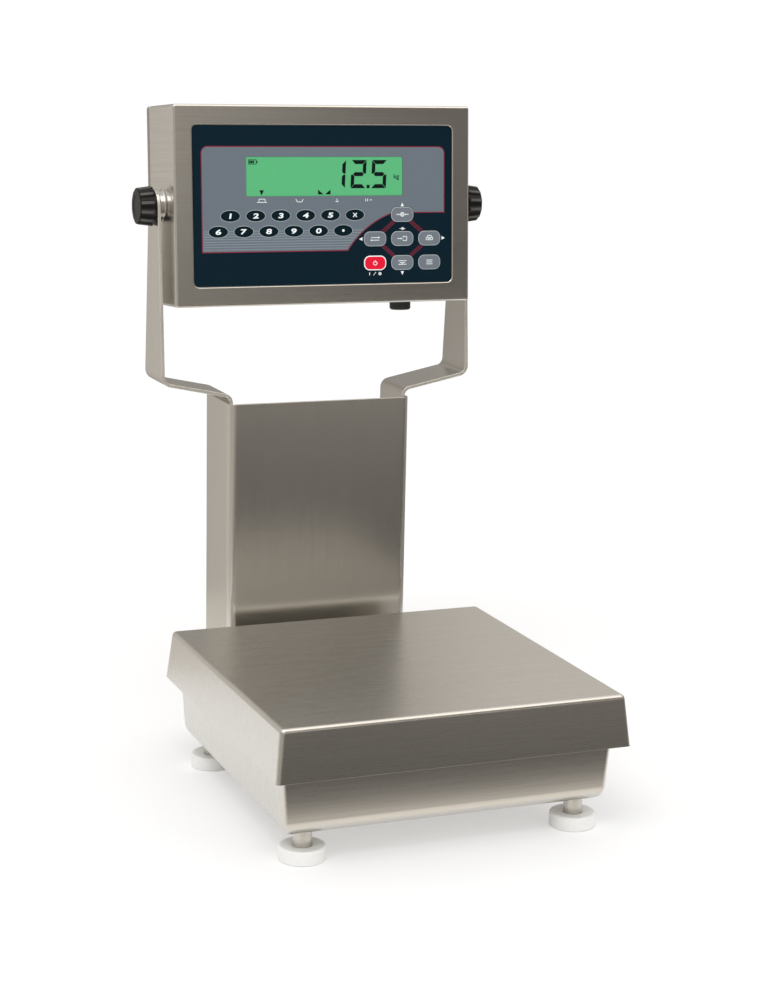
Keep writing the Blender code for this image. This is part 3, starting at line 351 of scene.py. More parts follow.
def stretchedNoise(tree, scale, detail, turn=0.0):
    # noise on Object coordinates, drawn out along the axis with the smallest scale; a turn
    # about X lays that axis along a leaning piece
    place = addNode(tree, "TexCoord", {}).outputs["Object"]
    mapping = addNode(tree, "Mapping", {"Scale": [1 / share for share in scale],
                                        "Rotation": (turn, 0.0, 0.0), "Vector": place},
                      vector_type="TEXTURE")
    noise = addNode(tree, "TexNoise", {"Scale": 1.0, "Detail": detail, "Roughness": 0.55,
                                       "Vector": mapping.outputs["Vector"]})
    return noise.outputs["Fac"]


def spread(tree, value, low, high, fromLow=0.3, fromHigh=0.7):
    # low + (high - low) * (value - fromLow) / (fromHigh - fromLow), held between the two
    return addNode(tree, "MapRange", {"From Min": fromLow, "From Max": fromHigh, "To Min": low,
                                      "To Max": high, "Value": value}).outputs["Result"]


def tinted(tree, value, dark, light):
    # dark + (light - dark) * value
    return addNode(tree, "Mix", {"A": (*dark, 1.0), "B": (*light, 1.0), "Factor": value},
                   data_type="RGBA").outputs["Result"]


def bumped(shader, value, strength, distance):
    # tips the surface's normals by the slope of the value
    bump = addNode(shader.id_data, "Bump", {"Strength": strength, "Distance": distance,
                                            "Height": value})
    feed(shader, "Normal", bump.outputs["Normal"])


steel = {"dark": (0.640, 0.620, 0.580), "light": (0.695, 0.675, 0.635), "rough": (0.20, 0.25),
         "trayRough": (0.26, 0.32), "rimRough": (0.34, 0.42), "cutRough": (0.50, 0.60),
         "fine": 4200.0, "broad": 900.0, "along": 9.0, "bump": 0.025, "bumpDepth": 0.04 * mm}
mottle = {"detail": 3.0, "bumpDepth": 0.05 * mm, "film": (1500.0, 0.03), "ink": (900.0, 0.0),
          "sheen": 0.12}  # films and inks mirror little


def brushedSteel(name, grain, rough=steel["rough"], turn=0.0, shade=1.0):
    # fine scratches and broader streaks, both long along the grain's axis
    made, shader = shaderOf(name, steel["light"], rough[0], 1.0)
    tree = made.node_tree
    fine = [steel["along"] * 2 if axis == grain else steel["fine"] for axis in "XYZ"]
    broad = [steel["along"] if axis == grain else steel["broad"] for axis in "XYZ"]
    scratch = stretchedNoise(tree, fine, 2.0, turn)
    streak = stretchedNoise(tree, broad, 3.0, turn)
    # shade scales both colours: below 1 it paints shade on a piece, above 1 a highlight
    dark, light = ([value * shade for value in steel[key]] for key in ("dark", "light"))
    feed(shader, "Base Color", tinted(tree, spread(tree, streak, 0.0, 1.0), dark, light))
    feed(shader, "Roughness", spread(tree, scratch, *rough))
    bumped(shader, scratch, steel["bump"], steel["bumpDepth"])
    return made


def mottled(name, dark, light, rough, scale, bump=0.0, metallic=0.0, specular=0.5):
    # an even finish with a slight drift of colour and roughness
    made, shader = shaderOf(name, light, rough[0], metallic, specular)
    tree = made.node_tree
    cloud = stretchedNoise(tree, (scale, scale, scale), mottle["detail"])
    feed(shader, "Base Color", tinted(tree, spread(tree, cloud, 0.0, 1.0), dark, light))
    feed(shader, "Roughness", spread(tree, cloud, *rough))
    if bump:
        bumped(shader, cloud, bump, mottle["bumpDepth"])
    return made


def displayColour(parts):
    # a display colour of 0 to 255 as the linear colour that a shader takes
    value = np.array(parts) / 255
    return tuple(np.where(value <= 0.04045, value / 12.92, ((value + 0.055) / 1.055) ** 2.4))


def printed(name, dark, light, rough, kind="ink"):
    # a film or an ink between two display colours
    scale, bump = mottle[kind]
    return mottled(name, displayColour(dark), displayColour(light), rough, scale, bump,
                   specular=mottle["sheen"])


steelX = brushedSteel("brushed steel, grain across", "X")
steelY = brushedSteel("brushed steel, grain front to back", "Y", turn=-restLean)
steelZ = brushedSteel("brushed steel, grain upright", "Z")
traySteelX = brushedSteel("brushed tray steel, grain across", "X", steel["trayRough"])
traySteelZ = brushedSteel("brushed tray steel, grain upright", "Z", steel["trayRough"])
# the arms' cut edges: rougher, with a lighter colour that is a painted highlight
steelCutPaintedLight = brushedSteel("cut steel edge, painted lighter", "Z", steel["cutRough"], shade=1.3)
# the lid's side rim: rougher, with a darker colour that is painted shade
steelRimPaintedShade = brushedSteel("dull steel rim, painted darker", "Y", steel["rimRough"], turn=-restLean, shade=0.62)
steelTurned = mottled("turned steel", (0.56, 0.54, 0.50), (0.64, 0.62, 0.58), (0.24, 0.32),
                      2600.0, 0.02, 1.0)
aluminium = mottled("milled aluminium", (0.60, 0.61, 0.62), (0.72, 0.73, 0.74), (0.25, 0.42),
                    700.0, 0.06, 1.0)
nylon = mottled("white nylon", (0.89, 0.89, 0.87), (0.93, 0.93, 0.91), (0.42, 0.52), 300.0, 0.01)
rubber = mottled("black rubber", (0.012, 0.012, 0.012), (0.03, 0.03, 0.03), (0.6, 0.8), 900.0, 0.2)
gripPlastic = mottled("black grip plastic", (0.022, 0.020, 0.018), (0.032, 0.029, 0.026),
                      (0.42, 0.52), 1200.0, 0.10, specular=0.35)
boardGreen = mottled("solder mask", (0.015, 0.12, 0.045), (0.03, 0.20, 0.08), (0.30, 0.45), 300.0)
gasketBlack = mottled("foam gasket", (0.018, 0.018, 0.018), (0.045, 0.044, 0.042), (0.7, 0.9),
                      1500.0, 0.3)
filmNavy = printed("navy film", (0, 28, 41), (0, 32, 45), (0.34, 0.42), "film")
keyNavy = printed("navy key film", (0, 26, 34), (0, 30, 39), (0.30, 0.38), "film")
keyGrey = printed("grey key film", (108, 116, 124), (114, 122, 130), (0.32, 0.40), "film")
keyRed = printed("red key film", (222, 12, 48), (232, 20, 56), (0.30, 0.38), "film")
inkGrey = printed("grey ink", (102, 112, 121), (106, 116, 125), (0.36, 0.44), "film")
inkLine = printed("light grey line ink", (126, 137, 146), (136, 147, 155), (0.36, 0.44))
inkRed = printed("dark red ink", (122, 34, 54), (136, 42, 62), (0.36, 0.44))
inkWhite = printed("white ink", (232, 238, 240), (244, 248, 249), (0.40, 0.48))
inkPale = printed("pale grey ink", (158, 168, 174), (176, 185, 190), (0.38, 0.46))
lcdGreen = printed("lit green display", (89, 180, 122), (91, 182, 124), (0.30, 0.36))
lcdDark = printed("dark display segment", (8, 20, 20), (14, 26, 25), (0.32, 0.40))
print("finishes made")


platter = {"sheet": 1.5 * mm, "edgeRadius": 3.4 * mm, "cornerRadius": 3.6 * mm, "flare": 4.0 * mm,
           "topFrom": 60 * mm}


def grainTurned(made, finish, axis=0):
    # faces that look along an axis take a second finish, whose grain runs another way
    normal = np.zeros(len(made.data.polygons) * 3, np.float32)
    made.data.polygons.foreach_get("normal", normal)
    slots = (np.abs(normal[axis::3]) > 0.7).astype(np.int32)  # within 45 degrees of the axis
    made.data.materials.append(finish)
    made.data.polygons.foreach_set("material_index", slots)


def trayPiece(node, corners, sheet, cornerRadius, slope, body):
    # a rounded ring a row, set in from the half width by how far each profile point lies in
    low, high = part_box(node)
    rows, outerCount = sheetRows(corners, sheet)
    inset, level = rows.T
    radius = np.clip(cornerRadius + (slope - inset), leastRound, cornerRadius)
    radius[outerCount:] = np.clip(radius[outerCount:], leastRound, cornerRadius - abs(sheet))
    x, y = roundedRings(high.x - inset, (high.y - low.y) / 2 - inset, radius, 6, 0.0,
                        (low.y + high.y) / 2)
    made = gridPiece(node + "_shell", np.stack([x, y, level[:, None] + 0 * x], -1), traySteelX,
                     body)
    grainTurned(made, traySteelZ)
    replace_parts(made, node)
    return made


def buildPlatter():
    # a tray upside down: level top, round edge, and a skirt that flares out by its slope
    low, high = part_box("platter")
    corners = [(platter["topFrom"], high.z), (platter["flare"], high.z, platter["edgeRadius"]),
               (0.0, low.z + platter["sheet"] / 2)]
    trayPiece("platter", corners, platter["sheet"], platter["cornerRadius"], platter["flare"],
              "platter")


pan = {"sheet": 1.9 * mm, "taper": 3.0 * mm, "bend": 12.0 * mm, "cornerRadius": 4.0 * mm,
       "floorFrom": 70 * mm, "lip": 9.0 * mm, "lipBend": 1.6 * mm, "nutRadius": 9.5 * mm,
       "nutHeight": 11.0 * mm, "nutRound": 0.8 * mm, "nutCut": 0.6 * mm, "weld": 0.4 * mm,
       "weldDip": 0.4, "drillReach": 6 * mm}


def footAxes():
    # (x, y) of each foot's middle
    return {corner: middleOf("foot_pad_" + corner)[:2]
            for corner in ("front_left", "front_right", "rear_left", "rear_right")}


def middleOf(node):
    # half way between the corners of a CAD node's box
    low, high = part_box(node)
    return (np.array(low) + np.array(high)) / 2


def buildPan():
    # an open tub: floor, wide bend, wall that widens by its taper, and a lip turned in at the
    # top; each foot's nut is a turned profile on the floor with a small weld at its foot
    low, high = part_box("base_pan")
    corners = [(pan["floorFrom"], low.z), (pan["taper"], low.z, pan["bend"]),
               (0.0, high.z, pan["lipBend"]), (pan["lip"], high.z)]
    made = trayPiece("base_pan", corners, -pan["sheet"], pan["cornerRadius"], pan["taper"], "base")
    stemLow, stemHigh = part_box("foot_stem_front_left")
    hole = (stemHigh.x - stemLow.x) / 2 + gap
    drilled(made, [(x, y, low.z) for x, y in footAxes().values()], hole, pan["drillReach"])
    floor, cut, weld = low.z + pan["sheet"], pan["nutCut"], pan["weld"]
    dip = weld * pan["weldDip"]
    outer, top = pan["nutRadius"], floor + pan["nutHeight"]
    profile = [(hole, floor), (hole, top - cut), (hole + cut, top),
               *roundEdge(outer, top, pan["nutRound"]), (outer, floor + weld),
               (outer + dip, floor + dip), (outer + weld, floor)]
    for corner, (x, y) in footAxes().items():
        turnedPiece("weld_nut_" + corner, profile, (x, y, 0.0), "Z", steelTurned, "base",
                    wrapRows=True)


def drilled(owner, places, radius, reach):
    # round holes along Z, cut by one tool of several cylinders
    shape = bmesh.new()
    for place in places:
        bmesh.ops.create_cone(shape, cap_ends=True, segments=40, radius1=radius, radius2=radius,
                              depth=2 * reach, matrix=Matrix.Translation(place))
    mesh = bpy.data.meshes.new("drill")
    shape.to_mesh(mesh)
    shape.free()
    tool = linked("drill", mesh)
    owner.modifiers.clear()
    owner.modifiers.new("holes", "BOOLEAN").object = tool
    result = meshNow(owner)
    owner.modifiers.clear()
    owner.data = result
    bpy.data.objects.remove(tool, do_unlink=True)
    result.set_sharp_from_angle(angle=math.radians(smoothUnder))
    shadeFlats(owner)


buildPlatter()
buildPan()
print("platter and pan made")


foot = {"round": 1.8 * mm, "underShare": 0.6, "dish": 0.5 * mm, "dishSlope": 0.3,
        "dishEdge": 3.2 * mm, "gap": 0.25 * mm, "chamfer": 0.7 * mm}


def buildFeet():
    # turned profiles: a pad with a dished top, a socket and a round rim that is flatter below,
    # and a stem with a chamfer at both ends
    for corner, (x, y) in footAxes().items():
        padLow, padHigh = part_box("foot_pad_" + corner)
        stemLow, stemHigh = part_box("foot_stem_" + corner)
        radius, top = (padHigh.x - padLow.x) / 2, padHigh.z
        stem = (stemHigh.x - stemLow.x) / 2
        socket, socketFloor = stem + foot["gap"], stemLow.z - foot["gap"]
        rim = roundEdge(radius, top, foot["round"], 6)
        under = [(r, padLow.z + (top - z) * foot["underShare"]) for r, z in rim[::-1]]
        pad = [(0.0, socketFloor), (socket, socketFloor), (socket, top - foot["dish"]),
               (radius - foot["dishEdge"], top - foot["dish"] * foot["dishSlope"]),
               *rim, *under, (0.0, padLow.z)]
        made = turnedPiece("foot_pad_" + corner + "_nylon", pad, (x, y, 0.0), "Z", nylon,
                           "foot_pad_" + corner, cols=64, sharp=45)
        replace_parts(made, "foot_pad_" + corner)
        cut = foot["chamfer"]
        rod = [(0.0, stemHigh.z), (stem - cut, stemHigh.z), (stem, stemHigh.z - cut),
               (stem, stemLow.z + cut), (stem - cut, stemLow.z), (0.0, stemLow.z)]
        made = turnedPiece("foot_stem_" + corner + "_steel", rod, (x, y, 0.0), "Z", steelTurned,
                           "foot_stem_" + corner)
        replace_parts(made, "foot_stem_" + corner)


buildFeet()
print("feet made")


column = {"sheet": 1.9 * mm, "bend": 7.0 * mm, "edge": 0.55 * mm}


def carriedSheet(name, line, thickness, low, high, edge, place, body, turnLeft=True):
    # a thin section, rounded at its four corners, carried along a line: its thickness lies
    # along the line's normal and its width from low to high across the line's plane
    normal = leftOf(line) * (1 if turnLeft else -1)
    low, high = np.broadcast_to(low, len(line)), np.broadcast_to(high, len(line))
    most = np.minimum(thickness * 0.49, (high - low) * 0.49 + 1e-6)  # just under half the section
    edge = np.minimum(edge, most)
    depth, width = roundedRings(thickness / 2 + 0 * edge, (high - low) / 2, edge, 3,
                                thickness / 2, (high + low) / 2)
    u = line[:, :1] + normal[:, :1] * depth
    v = line[:, 1:] + normal[:, 1:] * depth
    return gridPiece(name, place(u, v, width), steelZ, body)


def buildColumn():
    # a channel, open at the back: two side walls and a front joined by round bends
    low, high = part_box("column")
    half, bend = high.x, column["bend"]
    line = bentLine([(-half, high.y), (-half, low.y, bend), (half, low.y, bend), (half, high.y)],
                    10)
    made = carriedSheet("column_sheet", line, column["sheet"], low.z, high.z, column["edge"],
                        lambda u, v, w: np.stack([u, v, w], -1), "base")
    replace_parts(made, "column")


arm = {"sheet": 2.7 * mm, "tipRadius": 13.0 * mm, "rise": math.radians(11.8),
       "lowerBend": 5.2 * mm, "upperBend": 8.5 * mm, "edge": 0.5 * mm, "taperRows": 7,
       "tipRows": 14}


def buildArms():
    # a bar that runs up, out by a rise and up again; its half width is full up to the shoulder,
    # narrows evenly to the tip's circle, and ends as the square root of radius² - height²
    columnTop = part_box("column")[1].z
    for side, sign in sides.items():
        low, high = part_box("arm_" + side)
        outer, inner = max(abs(low.x), abs(high.x)), min(abs(low.x), abs(high.x))
        tab = inner + arm["sheet"]
        reach = math.tan((math.pi / 2 - arm["rise"]) / 2)
        lower = columnTop + arm["lowerBend"] * reach
        upper = lower + (outer - tab) * math.tan(arm["rise"])
        shoulder = upper + arm["upperBend"] * reach
        line = bentLine([(tab, low.z), (tab, lower, arm["lowerBend"]),
                         (outer, upper, arm["upperBend"]), (outer, high.z)], 10)[:-1]
        half, tip, axis = (high.y - low.y) / 2, arm["tipRadius"], high.z - arm["tipRadius"]
        lean = math.atan2(half - tip, axis - shoulder)
        start = axis + tip * math.sin(lean)
        steps = np.sin(np.linspace(lean, math.pi / 2, arm["tipRows"]))
        taper = np.linspace(shoulder + 1 * mm, start, arm["taperRows"] + 1)[:-1]
        rise = np.concatenate([taper, axis + tip * steps])
        line = np.vstack([line, np.stack([0 * rise + outer, rise], 1)])
        level = line[:, 1]
        width = np.interp(level, [shoulder, start], [half, tip * math.cos(lean)])
        cap = np.sqrt(np.clip(tip ** 2 - (level - axis) ** 2, 0, None))
        width = np.where(level >= start - 1e-7, cap, width)
        mid = (low.y + high.y) / 2
        line[:, 0] *= sign
        made = carriedSheet("arm_" + side + "_bar", line, arm["sheet"], mid - width, mid + width,
                            arm["edge"], lambda u, v, w: np.stack([u, w, v], -1), "base",
                            turnLeft=sign > 0)
        # the bar's front and back edges take the cut finish, whose lighter colour is a painted highlight
        grainTurned(made, steelCutPaintedLight, axis=1)
        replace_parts(made, "arm_" + side)


buildColumn()
buildArms()
print("column and arms made")


box = {"halfX": 120.65 * mm, "halfZ": 76.0 * mm, "front": -33.2 * mm, "back": 33.8 * mm,
       "sheet": 1.5 * mm, "edge": 2.0 * mm, "corner": 2.4 * mm, "flange": 13.0 * mm,
       "recessX": 105.9 * mm, "recessZ": 60.9 * mm, "recessCorner": 4.2 * mm,
       "recessFloor": 2.7 * mm, "floorSheet": 1.5 * mm, "lipRound": 1.1 * mm}
window = {"halfX": 63.9 * mm, "halfZ": 14.9 * mm, "corner": 1.6 * mm, "midX": 0.4 * mm,
          "midZ": 22.0 * mm}


def facePiece(name, rows, steelFinish, otherGrain, **shape):
    # one rounded ring for each row of half width, half height, corner, middle x and z, depth
    halfX, halfZ, radius, midX, midZ, depth = np.array(rows).T
    flat = np.stack(roundedRings(halfX, halfZ, radius, 6, midX, midZ), -1)
    made = gridPiece(name, onFace(flat, depth[:, None]), steelFinish, "indicator", **shape)
    grainTurned(made, otherGrain)
    return made


def sideRow(inset, depth):
    # a ring set in from the box's side
    return (box["halfX"] - inset, box["halfZ"] - inset, max(box["corner"] - inset, leastRound),
            0.0, 0.0, depth)


def recessRow(out, depth):
    # a ring set out from the recess's wall
    return box["recessX"] + out, box["recessZ"] + out, box["recessCorner"] + out, 0.0, 0.0, depth


def buildBox():
    # rings from the window's edge out over the recess, the front, the sides and the rear
    # flange, and back inside to the window's edge; each edge is a quarter round
    front, back, sheet, edge = box["front"], box["back"], box["sheet"], box["edge"]
    floor, lip = front + box["recessFloor"], box["lipRound"]
    innerFloor = floor + box["floorSheet"]
    opening = (window["halfX"] + gap, window["halfZ"] + gap, window["corner"], window["midX"],
               window["midZ"])
    quarter = [(1 - math.cos(angle), 1 - math.sin(angle)) for angle in quarterTurn(5)]
    rows = [(*opening, floor), recessRow(0.0, floor),
            *[recessRow(lip * c, front + lip * s) for c, s in quarter],
            *[sideRow(edge * s, front + edge * c) for c, s in quarter],
            *[sideRow(edge * c, back - edge * s) for c, s in quarter],
            sideRow(box["flange"], back), sideRow(box["flange"], back - sheet),
            sideRow(sheet, back - sheet), sideRow(sheet, front + sheet),
            recessRow(sheet, front + sheet), recessRow(sheet, innerFloor),
            (*opening, innerFloor)]
    made = facePiece("box_shell", rows, steelX, steelY, wrapRows=True)
    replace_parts(made, "enclosure")


lid = {"front": 34.1 * mm, "back": 40.1 * mm, "sheet": 1.5 * mm, "edge": 1.6 * mm,
       "cut": 0.3 * mm}


def buildLid():
    # rings from the lid's inner floor out over its rim and round to its back
    front, back, sheet, edge, cut = (lid[k] for k in ("front", "back", "sheet", "edge", "cut"))
    rows = [sideRow(sheet, back - sheet), sideRow(sheet, front + cut), sideRow(sheet - cut, front),
            sideRow(cut, front), sideRow(0.0, front + cut)]
    rows += [sideRow(edge * (1 - math.cos(angle)), back - edge * (1 - math.sin(angle)))
             for angle in quarterTurn(5)]
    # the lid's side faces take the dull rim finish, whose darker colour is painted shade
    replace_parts(facePiece("box_lid", rows, steelX, steelRimPaintedShade), "back_plate")


boss = {"radius": 12.0 * mm, "fillet": 1.6 * mm, "round": 0.7 * mm, "bore": 3.3 * mm}


def buildBosses():
    # a turned profile: bore, fillet at the box's wall, round edge at the arm's side
    wall, end = box["halfX"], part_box("arm_right")[1].x - arm["sheet"] - gap
    fillet = [(boss["radius"] + boss["fillet"] * (1 - math.sin(a)),
               wall + boss["fillet"] * (1 - math.cos(a))) for a in quarterTurn(4)]
    profile = [(boss["bore"], wall - gap), (boss["radius"] + boss["fillet"], wall - gap), *fillet,
               *roundEdge(boss["radius"], end, boss["round"])[::-1], (boss["bore"], end)]
    for side, sign in sides.items():
        turnedPiece("pivot_boss_" + side, [(r, sign * x) for r, x in profile], tiltAxis, "X",
                    steelTurned, "indicator", wrapRows=True)


buildBox()
buildLid()
buildBosses()
print("indicator box made")


panel = {"halfX": 105.6 * mm, "halfZ": 60.6 * mm, "corner": 3.8 * mm, "front": -32.1 * mm,
         "back": -30.8 * mm, "keyGap": 0.22 * mm, "glassGap": 0.1 * mm}
ink = {"thin": 0.020 * mm, "field": 0.035 * mm, "top": 0.050 * mm, "line": 0.75 * mm,
       "ring": 0.38 * mm, "ringGap": 0.02 * mm, "keyGap": 0.1 * mm, "sink": 0.01 * mm}
field = {"left": -98.5 * mm, "right": 99.2 * mm, "top": 44.2 * mm, "bottom": -34.5 * mm,
         "step": -5.8 * mm, "corner": 4.5 * mm, "arcTop": (56.0 * mm, -5.8 * mm),
         "arcMid": (34.0 * mm, -17.6 * mm), "arcEnd": (18.2 * mm, -34.5 * mm)}
rule = {"first": -19.2 * mm, "last": -33.0 * mm, "count": 8, "width": 0.55 * mm,
        "left": -98.0 * mm, "clear": 0.6 * mm, "least": 0.5 * mm}
keySize = {"oval": (7.4 * mm, 4.0 * mm), "pill": (9.3 * mm, 5.7 * mm), "pillCorner": 4.8 * mm}
ovalNames = ["1", "2", "3", "4", "5", "clear", "6", "7", "8", "9", "0", "point"]
pillNames = ["zero", "unit", "tare", "print", "net", "menu", "power"]


def arcThrough(start, middle, end, steps=14):
    # points on the circle through three points, from the first to the last
    # its centre is as far from the second and the third point as from the first
    a, b, c = np.array([start, middle, end])
    centre = np.linalg.solve(2 * np.array([b - a, c - a]), [b @ b - a @ a, c @ c - a @ a])
    first, last = (math.atan2(*(point - centre)[::-1]) for point in (a, c))
    turn = (last - first + math.pi) % (2 * math.pi) - math.pi
    angle = first + np.linspace(0, turn, steps + 1)
    return centre + math.dist(a, centre) * around(angle)


def ringOutline(halfX, halfZ, radius, midX=0.0, midZ=0.0, steps=5):
    # one rounded ring as (x, z) points
    u, v = roundedRings([halfX], [halfZ], [radius], steps, midX, midZ)
    return np.stack([u[0], v[0]], 1)


def ovalOutline(halfX, halfZ, midX, midZ):
    # middle + half width * cos(angle), and half height * sin(angle)
    return (midX, midZ) + (halfX, halfZ) * around(fullTurn(40))


def bar(start, end, width):
    # a straight stroke as its four corners
    start, end = np.array(start), np.array(end)
    side = beside(unit(end - start)) * width / 2
    return np.array([start + side, start - side, end - side, end + side])


def strokes(width, *lines):
    # a bar from each (x, z) point of a line to its next
    return [bar(start, end, width) for line in lines for start, end in zip(line, line[1:])]


def ringMark(midX, midZ, radius, width, first=0.0, last=360.0):
    # a curved stroke between two angles, as one loop out and back
    circle = around(np.radians(np.linspace(first, last, 29)))
    loop = np.vstack([circle * (radius + width / 2), circle[::-1] * (radius - width / 2)])
    return (midX, midZ) + loop


def arrow(midX, midZ, size, turn):
    # a solid triangle that points along its turn in degrees
    corners = np.array([0, 2.25, -2.25])  # radians from its tip to its rear corners
    return (midX, midZ) + size * around(math.radians(turn) + corners)


def shiftOutlines(outlines, x, z, scale=1.0):
    # each outline times the scale, moved by (x, z)
    return [(x, z) + np.array(outline) * scale for outline in outlines]


def fieldOutline(grow):
    # the grey field: two round top corners, a step at the right and an arc down to the left
    left, right = field["left"] - grow, field["right"] + grow
    top, bottom, step = field["top"] + grow, field["bottom"] - grow, field["step"] - grow
    arc = arcThrough(field["arcTop"], field["arcMid"], field["arcEnd"])
    arc = arc + leftOf(arc) * grow
    arc[0, 1], arc[-1, 1] = step, bottom
    angle, r = quarterTurn(6), field["corner"] + grow
    topRight = (right - r, top - r) + r * around(angle)
    topLeft = (left + r, top - r) + r * around(angle + math.pi / 2)
    return np.vstack([topRight, topLeft, [[left, bottom]], arc[::-1], [[right, step]]])


def keyMiddle(name):
    # the middle of a key's box, brought back from its leaning place to the front's own x and z
    return upright(middleOf("key_" + name))[[0, 2]]


def keyOutline(name, grow, x, z):
    # an oval or a rounded ring, larger all round by grow
    if name in ovalNames:
        return ovalOutline(keySize["oval"][0] + grow, keySize["oval"][1] + grow, x, z)
    return ringOutline(keySize["pill"][0] + grow, keySize["pill"][1] + grow,
                       keySize["pillCorner"] + grow, x, z)


def windowOutline(grow):
    # the display's rounded ring, larger all round by grow
    return ringOutline(window["halfX"] + grow, window["halfZ"] + grow, window["corner"],
                       window["midX"], window["midZ"])


def inkPiece(name, outlines, finish, height, base=panel["front"]):
    # prisms of one height on a base, sunk into it a little
    mesh = prismMesh(name, outlines, base - height, base + ink["sink"])
    return piece(name, mesh, [finish], "indicator", sharp=0)


def filmPiece(name, outlines, finish, front, back=panel["front"] + ink["sink"]):
    # a film with openings, between two depths
    return piece(name, filmMesh(name, outlines, front, back), [finish], "indicator", sharp=0)


def buildPanel():
    # flat films of a few hundredths of a millimetre on each other, with openings for the keys
    keys = {name: keyMiddle(name) for name in ovalNames + pillNames}
    front, keyGap = panel["front"], panel["keyGap"]
    holes = [keyOutline(name, keyGap, *middle) for name, middle in keys.items()]
    glass = windowOutline(panel["glassGap"])
    outline = ringOutline(panel["halfX"], panel["halfZ"], panel["corner"])
    made = filmPiece("panel_film", [outline, glass] + holes, filmNavy, front, panel["back"])
    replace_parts(made, "key_panel")
    onField = [keyOutline(name, keyGap + ink["keyGap"], *keys[name]) for name in ovalNames]
    for name, grow, finish, height in (("field_stripe", ink["line"], inkRed, ink["thin"]),
                                       ("field_ink", 0.0, inkGrey, ink["field"])):
        shape = withoutKey(fieldOutline(grow), keys["zero"])
        filmPiece(name, [shape, glass] + onField, finish, front - height)
    for name in ovalNames:
        rings = [keyOutline(name, keyGap + grow, *keys[name])
                 for grow in (ink["ring"], ink["ringGap"])]
        filmPiece("key_ring_" + name, rings, inkPale, front - ink["top"])
    return keys


def withoutKey(outline, middle):
    # the field's lower edge passes over the upper cluster key, so it bends round that key's top
    (halfX, halfZ), (x, z) = keySize["pill"], middle
    grow = panel["keyGap"] + ink["keyGap"]
    rim = ringOutline(halfX + grow, halfZ + grow, keySize["pillCorner"] + grow, x, z, 8)
    level = outline[-1][1]
    inside = rim[rim[:, 1] > level]
    inside = inside[np.argsort(inside[:, 0])]
    return np.vstack([outline[:-1], [[x - halfX - grow, level]], inside,
                      [[x + halfX + grow, level]], outline[-1:]])


def buildRules(keys):
    # thin level lines across the lower field, from its left edge to its arc, broken at the keys
    arc = arcThrough(field["arcTop"], field["arcMid"], field["arcEnd"], 60)
    halfX, halfZ = (half + rule["clear"] for half in keySize["oval"])
    lines = []
    for level in np.linspace(rule["first"], rule["last"], rule["count"]):
        right = np.interp(-level, -arc[:, 1], arc[:, 0]) - rule["clear"]
        breaks = []
        for x, z in (keys[name] for name in ovalNames):
            if abs(level - z) < halfZ:
                reach = halfX * math.sqrt(1 - ((level - z) / halfZ) ** 2)
                breaks.append((x - reach, x + reach))
        start = rule["left"]
        for low, high in sorted(breaks) + [(right, right)]:
            if low > start + rule["least"]:
                lines.append([(start, level), (min(low, right), level)])
            start = max(start, high)
    inkPiece("field_rules", strokes(rule["width"], *lines), inkLine, ink["top"])


stripe = {"width": 0.48 * mm, "pitch": 1.15 * mm, "count": 3, "from": (6.9 * mm, 5.4 * mm),
          "to": (6.5 * mm, 5.6 * mm)}
clusterSigns = {  # outlines in millimetres from each key's middle
    "zero": [arrow(0, 7.4, 1.75, 90)],
    "unit": [arrow(-11.6, 0, 1.75, 180)],
    "print": [arrow(11.6, 0, 1.75, 0)],
    "net": [arrow(0, -7.9, 1.75, 270)],
    "tare": [ringMark(0.3, 7.7, 0.95, 0.36),
             *strokes(0.36, [(-2.4, 7.7), (-0.7, 7.7)], [(1.3, 7.7), (2.6, 7.7)])],
    "power": [*strokes(0.5, [(-4.6, -9.5), (-4.6, -7.1)]),
              *strokes(0.4, [(-1.4, -9.5), (0.6, -7.1)]), ringMark(4.0, -8.3, 1.05, 0.45)]}


def buildClusterMarks(keys):
    # red stripes between the four outer keys, and white signs outside them
    shapes = []
    for start, end, *signs in (("zero", "unit", -1, -1), ("zero", "print", 1, -1),
                               ("net", "unit", -1, 1), ("net", "print", 1, 1)):
        first = keys[start] + np.array(signs) * stripe["from"]
        last = keys[end] - np.array(signs) * stripe["to"]
        side = beside(unit(last - first))
        for place in range(stripe["count"]):
            shift = side * (place - (stripe["count"] - 1) / 2) * stripe["pitch"]
            shapes.append(bar(first + shift, last + shift, stripe["width"]))
    inkPiece("cluster_stripes", shapes, inkRed, ink["thin"])
    marks = [mark for name, signs in clusterSigns.items()
             for mark in shiftOutlines(signs, *keys[name], mm)]
    inkPiece("cluster_marks", marks, inkWhite, ink["top"])


legend = {"z": 3.8 * mm, "unit": 1.35 * mm, "stroke": 0.46 * mm}
legendLines = {  # lines in the legend's unit, by each sign's place across in millimetres
    -51.1: [[(-3, -0.9), (3, -0.9)], [(-1.8, -0.6), (-1.8, 0.9), (1.8, 0.9), (1.8, -0.6)]],
    -20.8: [[(-2.2, 0.8), (-1.4, -0.8), (1.4, -0.8), (2.2, 0.8)]],
    9.8: [[(-1.0, -0.8), (1.0, -0.8)], [(0.0, -0.8), (0.0, 0.9)]],
    35.7: [[(-1.6, -0.8), (-1.6, 0.8)], [(-0.4, -0.8), (-0.4, 0.8)], [(0.9, 0.0), (2.2, 0.0)]]}


def buildLegends():
    # small signs under the display: a load on a pan, an open tray, a stand and a double stroke
    marks = []
    for x, lines in legendLines.items():
        marks += shiftOutlines(strokes(legend["stroke"] / legend["unit"], *lines), x * mm,
                               legend["z"], legend["unit"])
    inkPiece("display_legends", marks, inkWhite, ink["top"])


